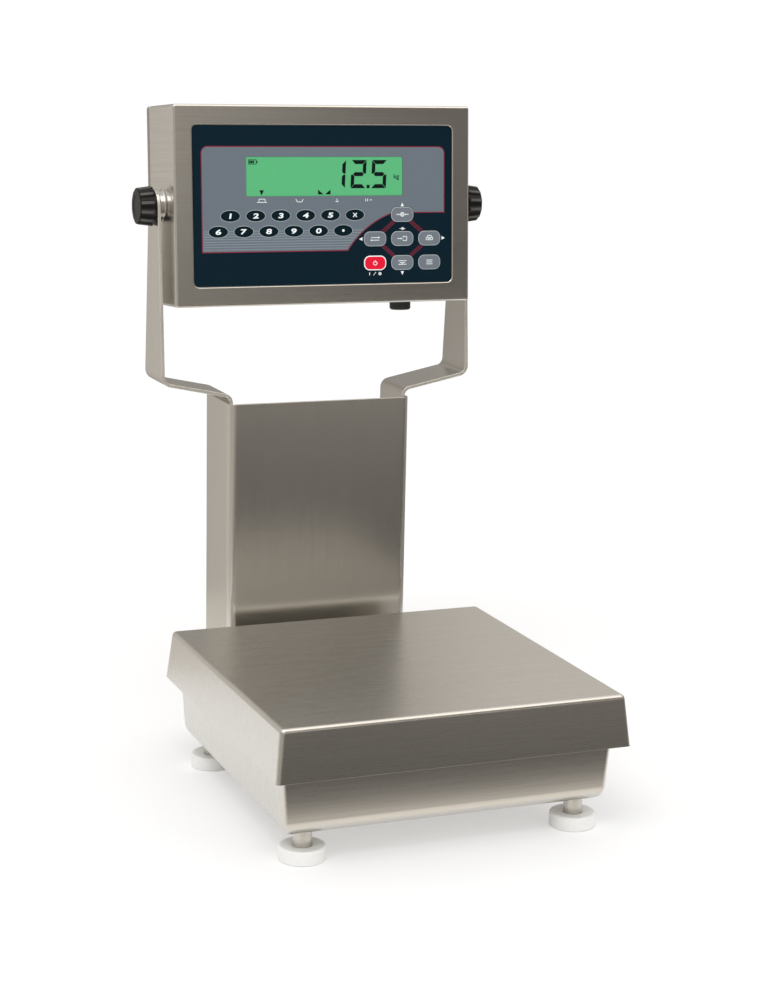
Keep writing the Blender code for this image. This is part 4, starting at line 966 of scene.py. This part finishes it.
keySigns = {  # outlines in millimetres from each key's middle
    "zero": [ringMark(0, 0, 1.5, 0.55), arrow(-2.6, 0, 0.8, 0), arrow(2.6, 0, 0.8, 180),
             *strokes(0.5, [(-5.2, 0), (-2.8, 0)], [(5.2, 0), (2.8, 0)])],
    "unit": [arrow(3.2, 1.0, 0.95, 0), arrow(-3.2, -1.0, 0.95, 180),
             *strokes(0.5, [(-3.4, 1.0), (2.6, 1.0)], [(3.4, -1.0), (-2.6, -1.0)])],
    "tare": [arrow(-0.8, 0, 0.95, 0),
             *strokes(0.5, [(-4.2, 0), (-1.4, 0)], [(0.6, 0.8), (0.6, 1.6)],
                      [(0.6, 1.6), (3.6, 1.6), (3.6, -1.6), (0.6, -1.6), (0.6, -0.8)])],
    "print": strokes(0.5, [(-2.8, 0.6), (2.8, 0.6), (2.8, -1.3), (-2.8, -1.3), (-2.8, 0.6)],
                     [(-1.6, 0.6), (-1.6, 2.1), (1.6, 2.1), (1.6, 0.6)],
                     [(-1.4, -0.4), (1.4, -0.4)]),
    "net": [arrow(0.0, -0.9, 0.7, 270),
            *strokes(0.5, [(-3.4, 1.4), (3.4, 1.4)], [(-2.2, 0.0), (2.2, 0.0)],
                     [(-3.4, -1.4), (3.4, -1.4)])],
    "menu": strokes(0.5, *[[(-2.6, z), (2.6, z)] for z in (1.5, 0.0, -1.5)]),
    "power": [ringMark(0, -0.1, 1.5, 0.5, 118, 422), bar((0, 0.3), (0, 2.1), 0.5)],
    "clear": strokes(0.75, [(-1.5, -1.5), (1.5, 1.5)], [(-1.5, 1.5), (1.5, -1.5)]),
    "point": [ringOutline(0.95, 0.95, 0.6)]}
figure = {"size": 5.2 * mm, "stretch": 1.75, "shear": 0.1, "bold": 0.17 * mm, "thin": 0.02 * mm,
          "sink": 0.01 * mm}


def textCurve(text, size, thin, bold):
    # plain text as a solid, its outline moved out by bold
    curve = bpy.data.curves.new(text, "FONT")
    curve.body, curve.size, curve.extrude, curve.offset = text, size, thin, bold
    curve.align_x = "CENTER"
    return curve


def figureMesh(text, x, z, depth):
    # a plain, slightly slanted figure, widened and thickened, with its middle at (x, z)
    curve = textCurve(text, figure["size"], figure["thin"], figure["bold"])
    curve.shear = figure["shear"]
    curve.resolution_u = 6
    mesh = flatMesh("figure", curve, 0.0, stretch=figure["stretch"])
    local = upright(coordsOf(mesh))
    local += np.array([x, depth, z]) - (local.min(0) + local.max(0)) / 2
    mesh.vertices.foreach_set("co", leanBack(local).ravel())
    return mesh


cap = {"proud": 0.16 * mm, "pillow": 0.10 * mm, "thick": 1.0 * mm, "ovalRim": 0.42 * mm,
       "pillRim": 0.48 * mm, "redRim": 0.80 * mm, "round": 0.10 * mm, "leastRound": 0.3 * mm,
       "rimStep": 0.01 * mm, "signSink": 0.03 * mm, "topRows": (0.45, 0.7, 0.9)}


def keyCap(name, x, z):
    # rows from the back of the key over its rounded edge and printed rim to its top, whose
    # depth is pillow * (1 - (1 - share of the way in)²)
    oval = name in ovalNames
    halfX, halfZ = keySize["oval" if oval else "pill"]
    rim = cap["ovalRim" if oval else "redRim" if name == "power" else "pillRim"]
    edge = cap["round"] * 0.3
    inset = np.array([0.0, 0.0, edge, cap["round"], rim, rim + cap["rimStep"],
                      *[halfZ * share for share in cap["topRows"]]])
    front = panel["front"] - cap["proud"]
    share = np.clip(inset / halfZ, 0, 1)
    depth = front - cap["pillow"] * (1 - (1 - share) ** 2)
    depth[:3] = front + np.array([cap["thick"], cap["round"], edge])
    if oval:
        angle = fullTurn(48)[None, :]
        u = x + (halfX - inset[:, None]) * np.cos(angle)
        v = z + (halfZ - inset[:, None]) * np.sin(angle)
    else:
        radius = np.clip(keySize["pillCorner"] - inset, cap["leastRound"], None)
        u, v = roundedRings(halfX - inset, halfZ - inset, radius, 8, x, z)
    mesh = gridMesh("cap", onFace(np.stack([u, v], -1), depth[:, None]))
    slots = [0, 1, 1, 1, 0, 0, 0, 0]  # the printed rim takes the second finish
    slots = np.append(np.repeat(slots, u.shape[1]), [0, 0]).astype(np.int32)
    mesh.polygons.foreach_set("material_index", slots)
    return mesh, depth[-1]


def buildKeys(keys):
    # a cap on each key, joined with its figure or its sign
    for name, (x, z) in keys.items():
        mesh, top = keyCap(name, x, z)
        if name in keySigns:
            outlines = shiftOutlines(keySigns[name], x, z, mm)
            sign = prismMesh("sign", outlines, top - cap["signSink"], top)
        else:
            sign = figureMesh(name, x, z, top - figure["sink"])
        finishes = [keyNavy, keyNavy] if name in ovalNames else [keyGrey, inkPale]
        finishes = [keyRed, inkWhite] if name == "power" else finishes
        joined = withSign("key_" + name + "_cap", mesh, sign)
        made = piece("key_" + name + "_cap", joined, finishes + [inkWhite], "key_" + name,
                     sharp=40, weighted=False)
        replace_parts(made, "key_" + name)


def withSign(name, mesh, sign):
    # joins the sign's mesh to the cap's, with the third finish for the sign's faces
    shape = bmesh.new()
    shape.from_mesh(mesh)
    count = len(shape.faces)
    shape.from_mesh(sign)
    shape.faces.ensure_lookup_table()
    for face in shape.faces[count:]:
        face.material_index = 2
    joined = bpy.data.meshes.new(name)
    shape.to_mesh(joined)
    shape.free()
    return joined


lcd = {"front": -31.85 * mm, "behind": -20.6 * mm, "bezel": 4.5 * mm, "digitWide": 12.4 * mm,
       "digitTall": 21.6 * mm, "digitPitch": 17.0 * mm, "firstX": 10.8 * mm, "digitZ": 23.6 * mm,
       "stroke": 3.1 * mm, "gap": 0.26 * mm, "slant": 0.055, "dot": 1.3 * mm, "dotRound": 0.4 * mm,
       "dotAfter": 1.46, "thin": 0.03 * mm, "unit": "kg", "unitSize": 5.0 * mm,
       "unitPlace": (59.2 * mm, 20.2 * mm), "unitStretch": 1.05, "unitBold": 0.06 * mm,
       "unitThin": 0.015 * mm, "unitProud": 0.01 * mm}
litSegments = {"1": "bc", "2": "abged", "5": "afgcd"}
displaySigns = [  # outlines in millimetres: an arrow, two wedges and a battery with three cells
    arrow(-51.3, 10.2, 2.4, 270), [(-5.6, 8.3), (-1.1, 8.3), (-5.6, 11.9)],
    [(4.6, 8.3), (0.1, 8.3), (4.6, 11.9)],
    *strokes(0.5, [(-61.4, 31.4), (-55.2, 31.4), (-55.2, 34.6), (-61.4, 34.6), (-61.4, 31.4)]),
    *strokes(0.8, [(-54.6, 32.4), (-54.6, 33.6)]),
    *strokes(1.2, *[[(x, 32.0), (x, 34.0)] for x in (-60.3, -58.9, -57.5)])]


def segmentOutline(kind):
    # a stroke of a seven-part figure as a six-cornered bar, or a bevelled one at the sides
    w, h, s, g = lcd["digitWide"], lcd["digitTall"], lcd["stroke"], lcd["gap"]
    hw, hh, hs = w / 2, h / 2, s / 2
    upper = [(-hw + g, hh), (hw - g, hh), (hw - s, hh - s), (-hw + s, hh - s)]
    middle = [(-hw + s * 0.55, 0), (-hw + s, hs), (hw - s, hs), (hw - s * 0.55, 0),
              (hw - s, -hs), (-hw + s, -hs)]
    side = [(-hw, hh - g), (-hw + s - g, hh - s - g * 0.4), (-hw + s - g, hs + g),
            (-hw + s * 0.45, g), (-hw, g * 2)]
    shape, signs = {"a": (upper, (1, 1)), "d": (upper, (-1, -1)), "g": (middle, (1, 1)),
                    "f": (side, (1, 1)), "b": (side, (-1, 1)), "e": (side, (1, -1)),
                    "c": (side, (-1, -1))}[kind]
    return np.array(shape) * signs


def buildDisplay():
    # a glass front on a wider body behind the recess's floor, with raised segments and signs
    glass, rear = windowOutline(0.0), windowOutline(lcd["bezel"])
    front, step = lcd["front"], box["front"] + box["recessFloor"] + box["floorSheet"] + gap
    rows = [(glass, front), (glass, step), (rear, step), (rear, lcd["behind"])]
    points = np.stack([onFace(outline, depth) for outline, depth in rows])
    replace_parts(gridPiece("display_glass", points, lcdGreen, "indicator"), "display_module")
    lean = np.array([[1.0, 0.0], [lcd["slant"], 1.0]])
    outlines = shiftOutlines(displaySigns, 0, 0, mm)
    for place, digit in enumerate("125"):
        outlines += shiftOutlines([segmentOutline(kind) @ lean for kind in litSegments[digit]],
                                  lcd["firstX"] + place * lcd["digitPitch"], lcd["digitZ"])
    dot = lcd["dot"]
    outlines.append(ringOutline(dot, dot, lcd["dotRound"],
                                lcd["firstX"] + lcd["dotAfter"] * lcd["digitPitch"],
                                lcd["digitZ"] - lcd["digitTall"] / 2 + dot))
    inkPiece("display_segments", outlines, lcdDark, lcd["thin"], base=front)
    curve = textCurve(lcd["unit"], lcd["unitSize"], lcd["unitThin"], lcd["unitBold"])
    mesh = flatMesh("unit", curve, front - lcd["unitProud"], lcd["unitPlace"], lcd["unitStretch"])
    piece("display_unit", mesh, [lcdDark], "indicator", sharp=0)


keyPlaces = buildPanel()
buildRules(keyPlaces)
buildClusterMarks(keyPlaces)
buildLegends()
buildKeys(keyPlaces)
buildDisplay()
print("key panel, keys and display made")


# the knob's second colour, after the plain black, is a painted highlight along the ribs
knob = {"root": 15.3 * mm, "end": 13.8 * mm, "flutes": 12, "fluteDepth": 1.7 * mm,
        "fluteShare": 0.36, "fluteEnd": 0.9 * mm, "round": 1.0 * mm, "capRadius": 8.8 * mm,
        "innerRound": 0.4 * mm, "plainEnds": 2.0 * mm, "landFrom": 1.4 * mm,
        "capDip": 0.35 * mm, "capSlope": 0.3 * mm, "rimSink": 0.4 * mm, "stud": 3.0 * mm,
        "studCut": 0.6 * mm, "cols": 192, "plain": (0.006, 0.005, 0.005),
        "ribHighlight": (0.10, 0.095, 0.088), "rough": (0.40, 0.52), "mottle": 1200.0}


def landMarks(made, first, last):
    # 1 on the ribs between the grooves and 0 in the grooves and on both ends, where the finish paints a highlight
    x, y, z = coordsOf(made.data).T
    radius = np.hypot(y - tiltAxis[1], z - tiltAxis[2])
    share = np.clip((x - first) / (last - first), 0, 1)
    rib = knob["root"] + (knob["end"] - knob["root"]) * share
    land = np.clip(1 - (rib - radius) / (0.5 * knob["fluteDepth"]), 0, 1)
    land = land * ((x - first) * (x - last) < 0)
    mark = made.data.attributes.new("land", "FLOAT", "POINT")
    mark.data.foreach_set("value", land.astype(np.float32))


def ribbedPlastic():
    # the black of the knobs, painted paler along the ribs as a painted highlight
    made, shader = shaderOf("black plastic, ribs painted paler as highlight", (0.008, 0.007, 0.006), 0.45, 0.0, 0.28)
    tree = made.node_tree
    land = addNode(tree, "Attribute", {}, attribute_name="land").outputs["Fac"]
    ribHighlight = tinted(tree, spread(tree, land, 0.0, 1.0, 0.0, 1.0), knob["plain"], knob["ribHighlight"])
    feed(shader, "Base Color", ribHighlight)
    cloud = stretchedNoise(tree, [knob["mottle"]] * 3, mottle["detail"])
    feed(shader, "Roughness", spread(tree, cloud, *knob["rough"]))
    return made


def buildKnobs():
    # radius = taper along the axis less a groove in each of twelve places round it
    ribs = ribbedPlastic()
    angle = fullTurn(knob["cols"])[None, :]
    phase = (angle * knob["flutes"] / (2 * math.pi) + 0.5) % 1.0 - 0.5
    groove = np.sqrt(np.clip(1 - (phase / knob["fluteShare"]) ** 2, 0, None))
    turn = quarterTurn(4)
    for side, sign in sides.items():
        studEnd, outer = sorted(abs(corner.x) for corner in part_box("knob_" + side))
        inner = max(abs(corner.x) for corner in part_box("knob_washer_" + side)) + gap
        face = outer - knob["rimSink"]
        plain = np.linspace(inner + knob["plainEnds"], face - knob["plainEnds"], 4)
        along = np.concatenate([inner + knob["innerRound"] * (1 - np.cos(turn)), plain,
                                face - knob["round"] * (1 - np.sin(turn))])
        inset = np.concatenate([knob["innerRound"] * (1 - np.sin(turn)), 0 * plain,
                                knob["round"] * (1 - np.cos(turn))])
        share = (along - inner) / (face - inner)
        base = knob["root"] + (knob["end"] - knob["root"]) * share - inset
        fade = np.clip((face - along) / knob["fluteEnd"], 0, 1) ** 0.5
        radius = base[:, None] - knob["fluteDepth"] * groove * fade[:, None]
        stud = np.array([(knob["stud"] - knob["studCut"], studEnd),
                         (knob["stud"], studEnd + knob["studCut"]), (knob["stud"], inner)])
        dip = np.array([(knob["capRadius"], face),
                        (knob["capRadius"] - knob["capSlope"], face - knob["capDip"]),
                        (1.0 * mm, face - knob["capDip"])])
        radius = np.vstack([stud[:, :1] + 0 * angle, radius, dip[:, :1] + 0 * angle])
        along = np.concatenate([stud[:, 1], along, dip[:, 1]])
        points = np.stack([sign * (along[:, None] + 0 * angle), radius * np.cos(angle),
                           radius * np.sin(angle)], -1) + np.array([0, *tiltAxis[1:]])
        made = gridPiece("knob_" + side + "_grip", points, ribs, "knob_" + side, sharp=38,
                         weighted=False)
        landMarks(made, sign * (inner + knob["landFrom"]), sign * (face - knob["fluteEnd"]))
        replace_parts(made, "knob_" + side)
        smoothCopy("knob_washer_" + side, steelTurned)


grip = {"radius": 8.4 * mm, "round": 2.0 * mm, "neck": 6.0 * mm, "nut": 9.2 * mm,
        "nutHeight": 4.0 * mm, "nutGap": 0.2 * mm, "bore": 3.0 * mm, "boreDepth": 6.0 * mm,
        "drop": 8.0 * mm}


def buildGrip():
    # a turned profile: nut inside the box, neck through its floor, and a round cap with a bore
    wall = -box["halfZ"]
    bottom, nut = wall - grip["drop"], wall + box["sheet"] + grip["nutGap"]
    edge = [(r, 2 * bottom - z) for r, z in roundEdge(grip["radius"], bottom, grip["round"])]
    profile = [(0.0, nut + grip["nutHeight"]), (grip["nut"], nut + grip["nutHeight"]),
               (grip["nut"], nut), (grip["neck"], nut), (grip["neck"], wall - gap),
               (grip["radius"], wall - gap), *edge[::-1], (grip["bore"], bottom),
               (grip["bore"], bottom + grip["boreDepth"]), (0.0, bottom + grip["boreDepth"])]
    points = turned(profile, "Z") + np.array([middleOf("cord_grip")[0], 0.0, 0.0])
    made = gridPiece("cord_grip_cap", leanBack(points), gripPlastic, "indicator")
    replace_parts(made, "cord_grip")


def buildRest():
    # pieces whose CAD shape is right: they are merged copies with their own finish
    for node in ("cell_lower_spacer", "cell_upper_spacer", "platter_frame", "column_bracket"):
        smoothCopy(node, steelX)
    for side in sides:
        smoothCopy("pan_bolt_" + side, steelTurned)
        smoothCopy("column_bolt_" + side, steelTurned)
        for end in ("front", "rear"):
            smoothCopy(f"button_{end}_{side}", rubber)
        for end in ("top", "bottom"):
            smoothCopy(f"back_screw_{end}_{side}", steelTurned, 45)
    cell = smoothCopy("load_cell", aluminium, rides=False)
    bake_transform(cell)
    smoothCopy("back_gasket", gasketBlack)
    smoothCopy("circuit_board", boardGreen)


buildKnobs()
buildGrip()
buildRest()
print("knobs, grip and inner pieces made")


studio = {"floor": (0.90, 0.90, 0.90), "floorSize": 8.0, "glow": 1.40, "glowFar": 1.02,
          "shadowShare": 0.75, "shadowNear": 0.55, "shadowFar": 1.20, "worldLight": 0.88,
          "worldTint": (1.0, 0.99, 0.975), "cardTint": (1.0, 0.94, 0.86), "cardFloor": 0.002}
lamps = {"key light": {"place": (-0.8, -0.9, 2.2), "aim": (0.0, 0.0, 0.1), "size": 1.2,
                       "power": 15.0},
         "fill light": {"place": (0.6, -1.9, 0.9), "aim": (0.0, 0.0, 0.2), "size": 1.4,
                        "power": 2.5}}
view = {"fromTiltAxis": (-0.5780, -1.6090, 0.1269), "yaw": 22.01, "pitch": -11.97, "roll": 1.2,
        "focalPixels": 2165.18, "imageTall": 1000, "sensor": 36.0}
across, deep, upward = (1.0, 0.0, 0.0), (0.0, 1.0, 0.0), (0.0, 0.0, 1.0)
planes = {"upright": (across, upward), "floor": (across, deep), "side": (deep, upward)}
# each card: its plane, a point of it, places along its two directions, and its greys, with one
# row for each place of the second direction where they differ
cards = {
    "front card": (
        "upright", (0.0, -0.95, 0.0), [-2.0, -0.6, -0.1, 0.18, 0.31, 0.43, 0.56, 2.0],
        [0.0, 0.10, 0.36, 0.46, 1.3],
        [[0.62, 0.50, 0.20, 0.19, 0.30, 0.31, 0.31, 0.34],
         [0.62, 0.50, 0.18, 0.14, 0.18, 0.18, 0.18, 0.28],
         [0.62, 0.50, 0.18, 0.15, 0.12, 0.06, 0.05, 0.20],
         [0.62, 0.50, 0.42, 0.41, 0.32, 0.19, 0.16, 0.20],
         [0.62, 0.50, 0.42, 0.41, 0.32, 0.19, 0.16, 0.20]]),
    "near band card": (
        "upright", (0.0, -0.62, 0.0), [-0.3, 0.8], [0.212, 0.228, 0.25, 0.272],
        [[0.50], [1.12], [1.12], [0.85]]),
    "front floor card": (
        "floor", (0.0, 0.0, studio["cardFloor"]), [-2.0, -0.8, -0.35, -0.2, 2.0],
        [-0.95, -0.40, -0.32, -0.24, -0.215, -0.175],
        [[0.60, 0.50, 0.22, 0.13, 0.13], [0.60, 0.50, 0.22, 0.10, 0.10],
         [0.60, 0.50, 0.25, 0.10, 0.10], [0.60, 0.50, 0.32, 0.14, 0.14],
         [0.62, 0.60, 0.70, 0.95, 0.95], [0.62, 0.60, 0.75, 1.05, 1.05]]),
    "overhead card": ("floor", (0.0, 0.0, 1.5), [-0.3, 1.4], [-1.5, 0.1], [1.7, 1.7]),
    "rear card": ("upright", (0.0, 1.6, 0.0), [-1.5, 0.60, 0.70, 0.85, 3.0], [0.0, 1.2],
                  [0.33, 0.33, 0.50, 0.61, 0.61]),
    "left card": ("upright", (0.0, 0.55, 0.0), [-1.5, -0.3, -0.12, -0.04], [0.0, 0.8],
                  [0.65, 0.65, 0.44, 0.38]),
    "left floor card": ("floor", (0.0, 0.0, studio["cardFloor"]), [-1.2, -0.12], [0.36, 0.55],
                        [[0.75], [0.65]]),
    "left side card": ("side", (-1.5, 0.0, 0.0), [-0.95, -0.2, 0.55], [0.0, 1.2],
                       [0.36, 0.50, 0.65]),
    "left side floor card": ("floor", (0.0, 0.0, studio["cardFloor"]), [-1.5, -0.62, -0.45],
                             [-0.215, 0.36], [[0.58, 0.56, 0.66], [0.62, 0.60, 0.68]]),
    "right side card": ("side", (1.7, 0.0, 0.0), [-0.95, 1.6], [0.0, 1.2], [0.30, 0.50]),
    "right floor card": ("floor", (0.0, 0.0, studio["cardFloor"]), [0.40, 1.7], [-0.225, 1.6],
                         [[0.30], [0.40]])}


def rayIsSeen(tree):
    # 1 for a ray from the camera, off a glossy surface or through glass
    path = addNode(tree, "LightPath", {}).outputs
    seen = path["Is Camera Ray"]
    for kind in ("Is Glossy Ray", "Is Transmission Ray"):
        seen = addNode(tree, "Math", {0: seen, 1: path[kind]}, operation="MAXIMUM").outputs[0]
    return seen


def buildFloor():
    # a pale floor that takes shadows near the object and turns plain white farther out
    half = studio["floorSize"] / 2
    mesh = bpy.data.meshes.new("floor")
    mesh.from_pydata([(-half, -half, 0), (half, -half, 0), (half, half, 0), (-half, half, 0)], [],
                     [(0, 1, 2, 3)])
    paint = bareMaterial("pale floor")
    tree = paint.node_tree
    place = addNode(tree, "TexCoord", {}).outputs["Object"]
    reach = addNode(tree, "VectorMath", {0: place}, operation="LENGTH").outputs["Value"]
    near, far = studio["shadowNear"], studio["shadowFar"]
    glow = spread(tree, reach, studio["glow"], studio["glowFar"], near, far)
    kept = spread(tree, reach, 1 - studio["shadowShare"], 1.0, near, far)
    share = addNode(tree, "Math", {0: rayIsSeen(tree), 1: kept}, operation="MULTIPLY")
    plain = addNode(tree, "BsdfDiffuse", {"Color": (*studio["floor"], 1.0)})
    white = addNode(tree, "Emission", {"Color": (1.0, 1.0, 1.0, 1.0), "Strength": glow})
    seen = addNode(tree, "MixShader", {"Fac": share.outputs[0], 1: plain.outputs["BSDF"],
                                       2: white.outputs["Emission"]})
    feed(tree.nodes["Material Output"], "Surface", seen.outputs["Shader"])
    mesh.materials.append(paint)
    linked("floor", mesh)


def buildWorld():
    # a plain light level for the surfaces, and white for what the camera sees
    world = bpy.data.worlds.new("studio")
    world.use_nodes = True
    bpy.context.scene.world = world
    tree = world.node_tree
    light = tree.nodes["Background"]
    feed(light, "Color", (*studio["worldTint"], 1.0))
    feed(light, "Strength", studio["worldLight"])
    white = addNode(tree, "Background", {"Color": (1.0, 1.0, 1.0, 1.0)})
    mix = addNode(tree, "MixShader", {"Fac": rayIsSeen(tree), 1: light.outputs["Background"],
                                      2: white.outputs["Background"]})
    feed(tree.nodes["World Output"], "Surface", mix.outputs["Shader"])


def card(name, plane, corner, us, vs, shades):
    # an unlit card that only reflections see: its points are corner + u * alongU + v * alongV,
    # and its shade is blended between a table of greys
    alongU, alongV = planes[plane]
    u, v = np.meshgrid(us, vs, indexing="xy")
    points = np.array(corner) + u[..., None] * np.array(alongU) + v[..., None] * np.array(alongV)
    index = np.arange(u.size).reshape(u.shape)
    faces = np.stack([index[:-1, :-1], index[:-1, 1:], index[1:, 1:], index[1:, :-1]], -1)
    mesh = bpy.data.meshes.new(name)
    mesh.from_pydata(points.reshape(-1, 3).tolist(), [], faces.reshape(-1, 4).tolist())
    shade = mesh.attributes.new("shade", "FLOAT_COLOR", "POINT")
    colour = np.broadcast_to(shades, u.shape).reshape(-1, 1) * np.array([*studio["cardTint"], 1.0])
    shade.data.foreach_set("color", colour.astype(np.float32).ravel())
    paint = bareMaterial(name)
    tree = paint.node_tree
    read = addNode(tree, "Attribute", {}, attribute_name="shade")
    glow = addNode(tree, "Emission", {"Color": read.outputs["Color"]})
    feed(tree.nodes["Material Output"], "Surface", glow.outputs["Emission"])
    mesh.materials.append(paint)
    made = linked(name, mesh)
    made.visible_camera = False
    made.visible_diffuse = False
    made.visible_shadow = False
    made.visible_transmission = False


def softbox(name, place, aim, size, power):
    # a square lamp that looks from its place to its aim
    lamp = bpy.data.lights.new(name, "AREA")
    lamp.shape = "SQUARE"
    lamp.size = size
    lamp.energy = power
    made = linked(name, lamp)
    made.location = place
    made.rotation_euler = (Vector(aim) - Vector(place)).to_track_quat("-Z", "Y").to_euler()
    made.visible_camera = False


def buildCamera():
    # the three directions of the photograph's camera from its yaw, pitch and roll
    yaw, pitch, roll = (math.radians(view[k]) for k in ("yaw", "pitch", "roll"))
    ahead = Vector((math.sin(yaw) * math.cos(pitch), math.cos(yaw) * math.cos(pitch),
                    math.sin(pitch)))
    level = Vector((math.cos(yaw), -math.sin(yaw), 0.0))
    raised = level.cross(ahead)
    right = math.cos(roll) * level + math.sin(roll) * raised
    up = math.cos(roll) * raised - math.sin(roll) * level
    camera = linked("camera", bpy.data.cameras.new("camera"))
    place = Vector(tiltAxis) + Vector(view["fromTiltAxis"])
    turn = Matrix((right, up, -ahead)).transposed().to_4x4()
    camera.matrix_world = Matrix.Translation(place) @ turn
    camera.data.sensor_width = view["sensor"]
    camera.data.lens = view["focalPixels"] * view["sensor"] / view["imageTall"]
    bpy.context.scene.camera = camera


buildCamera()
buildFloor()
buildWorld()
for name, parts in cards.items():
    card(name, *parts)
for name, lamp in lamps.items():
    softbox(name, **lamp)
bpy.context.scene.view_settings.view_transform = "Standard"
print("studio made")
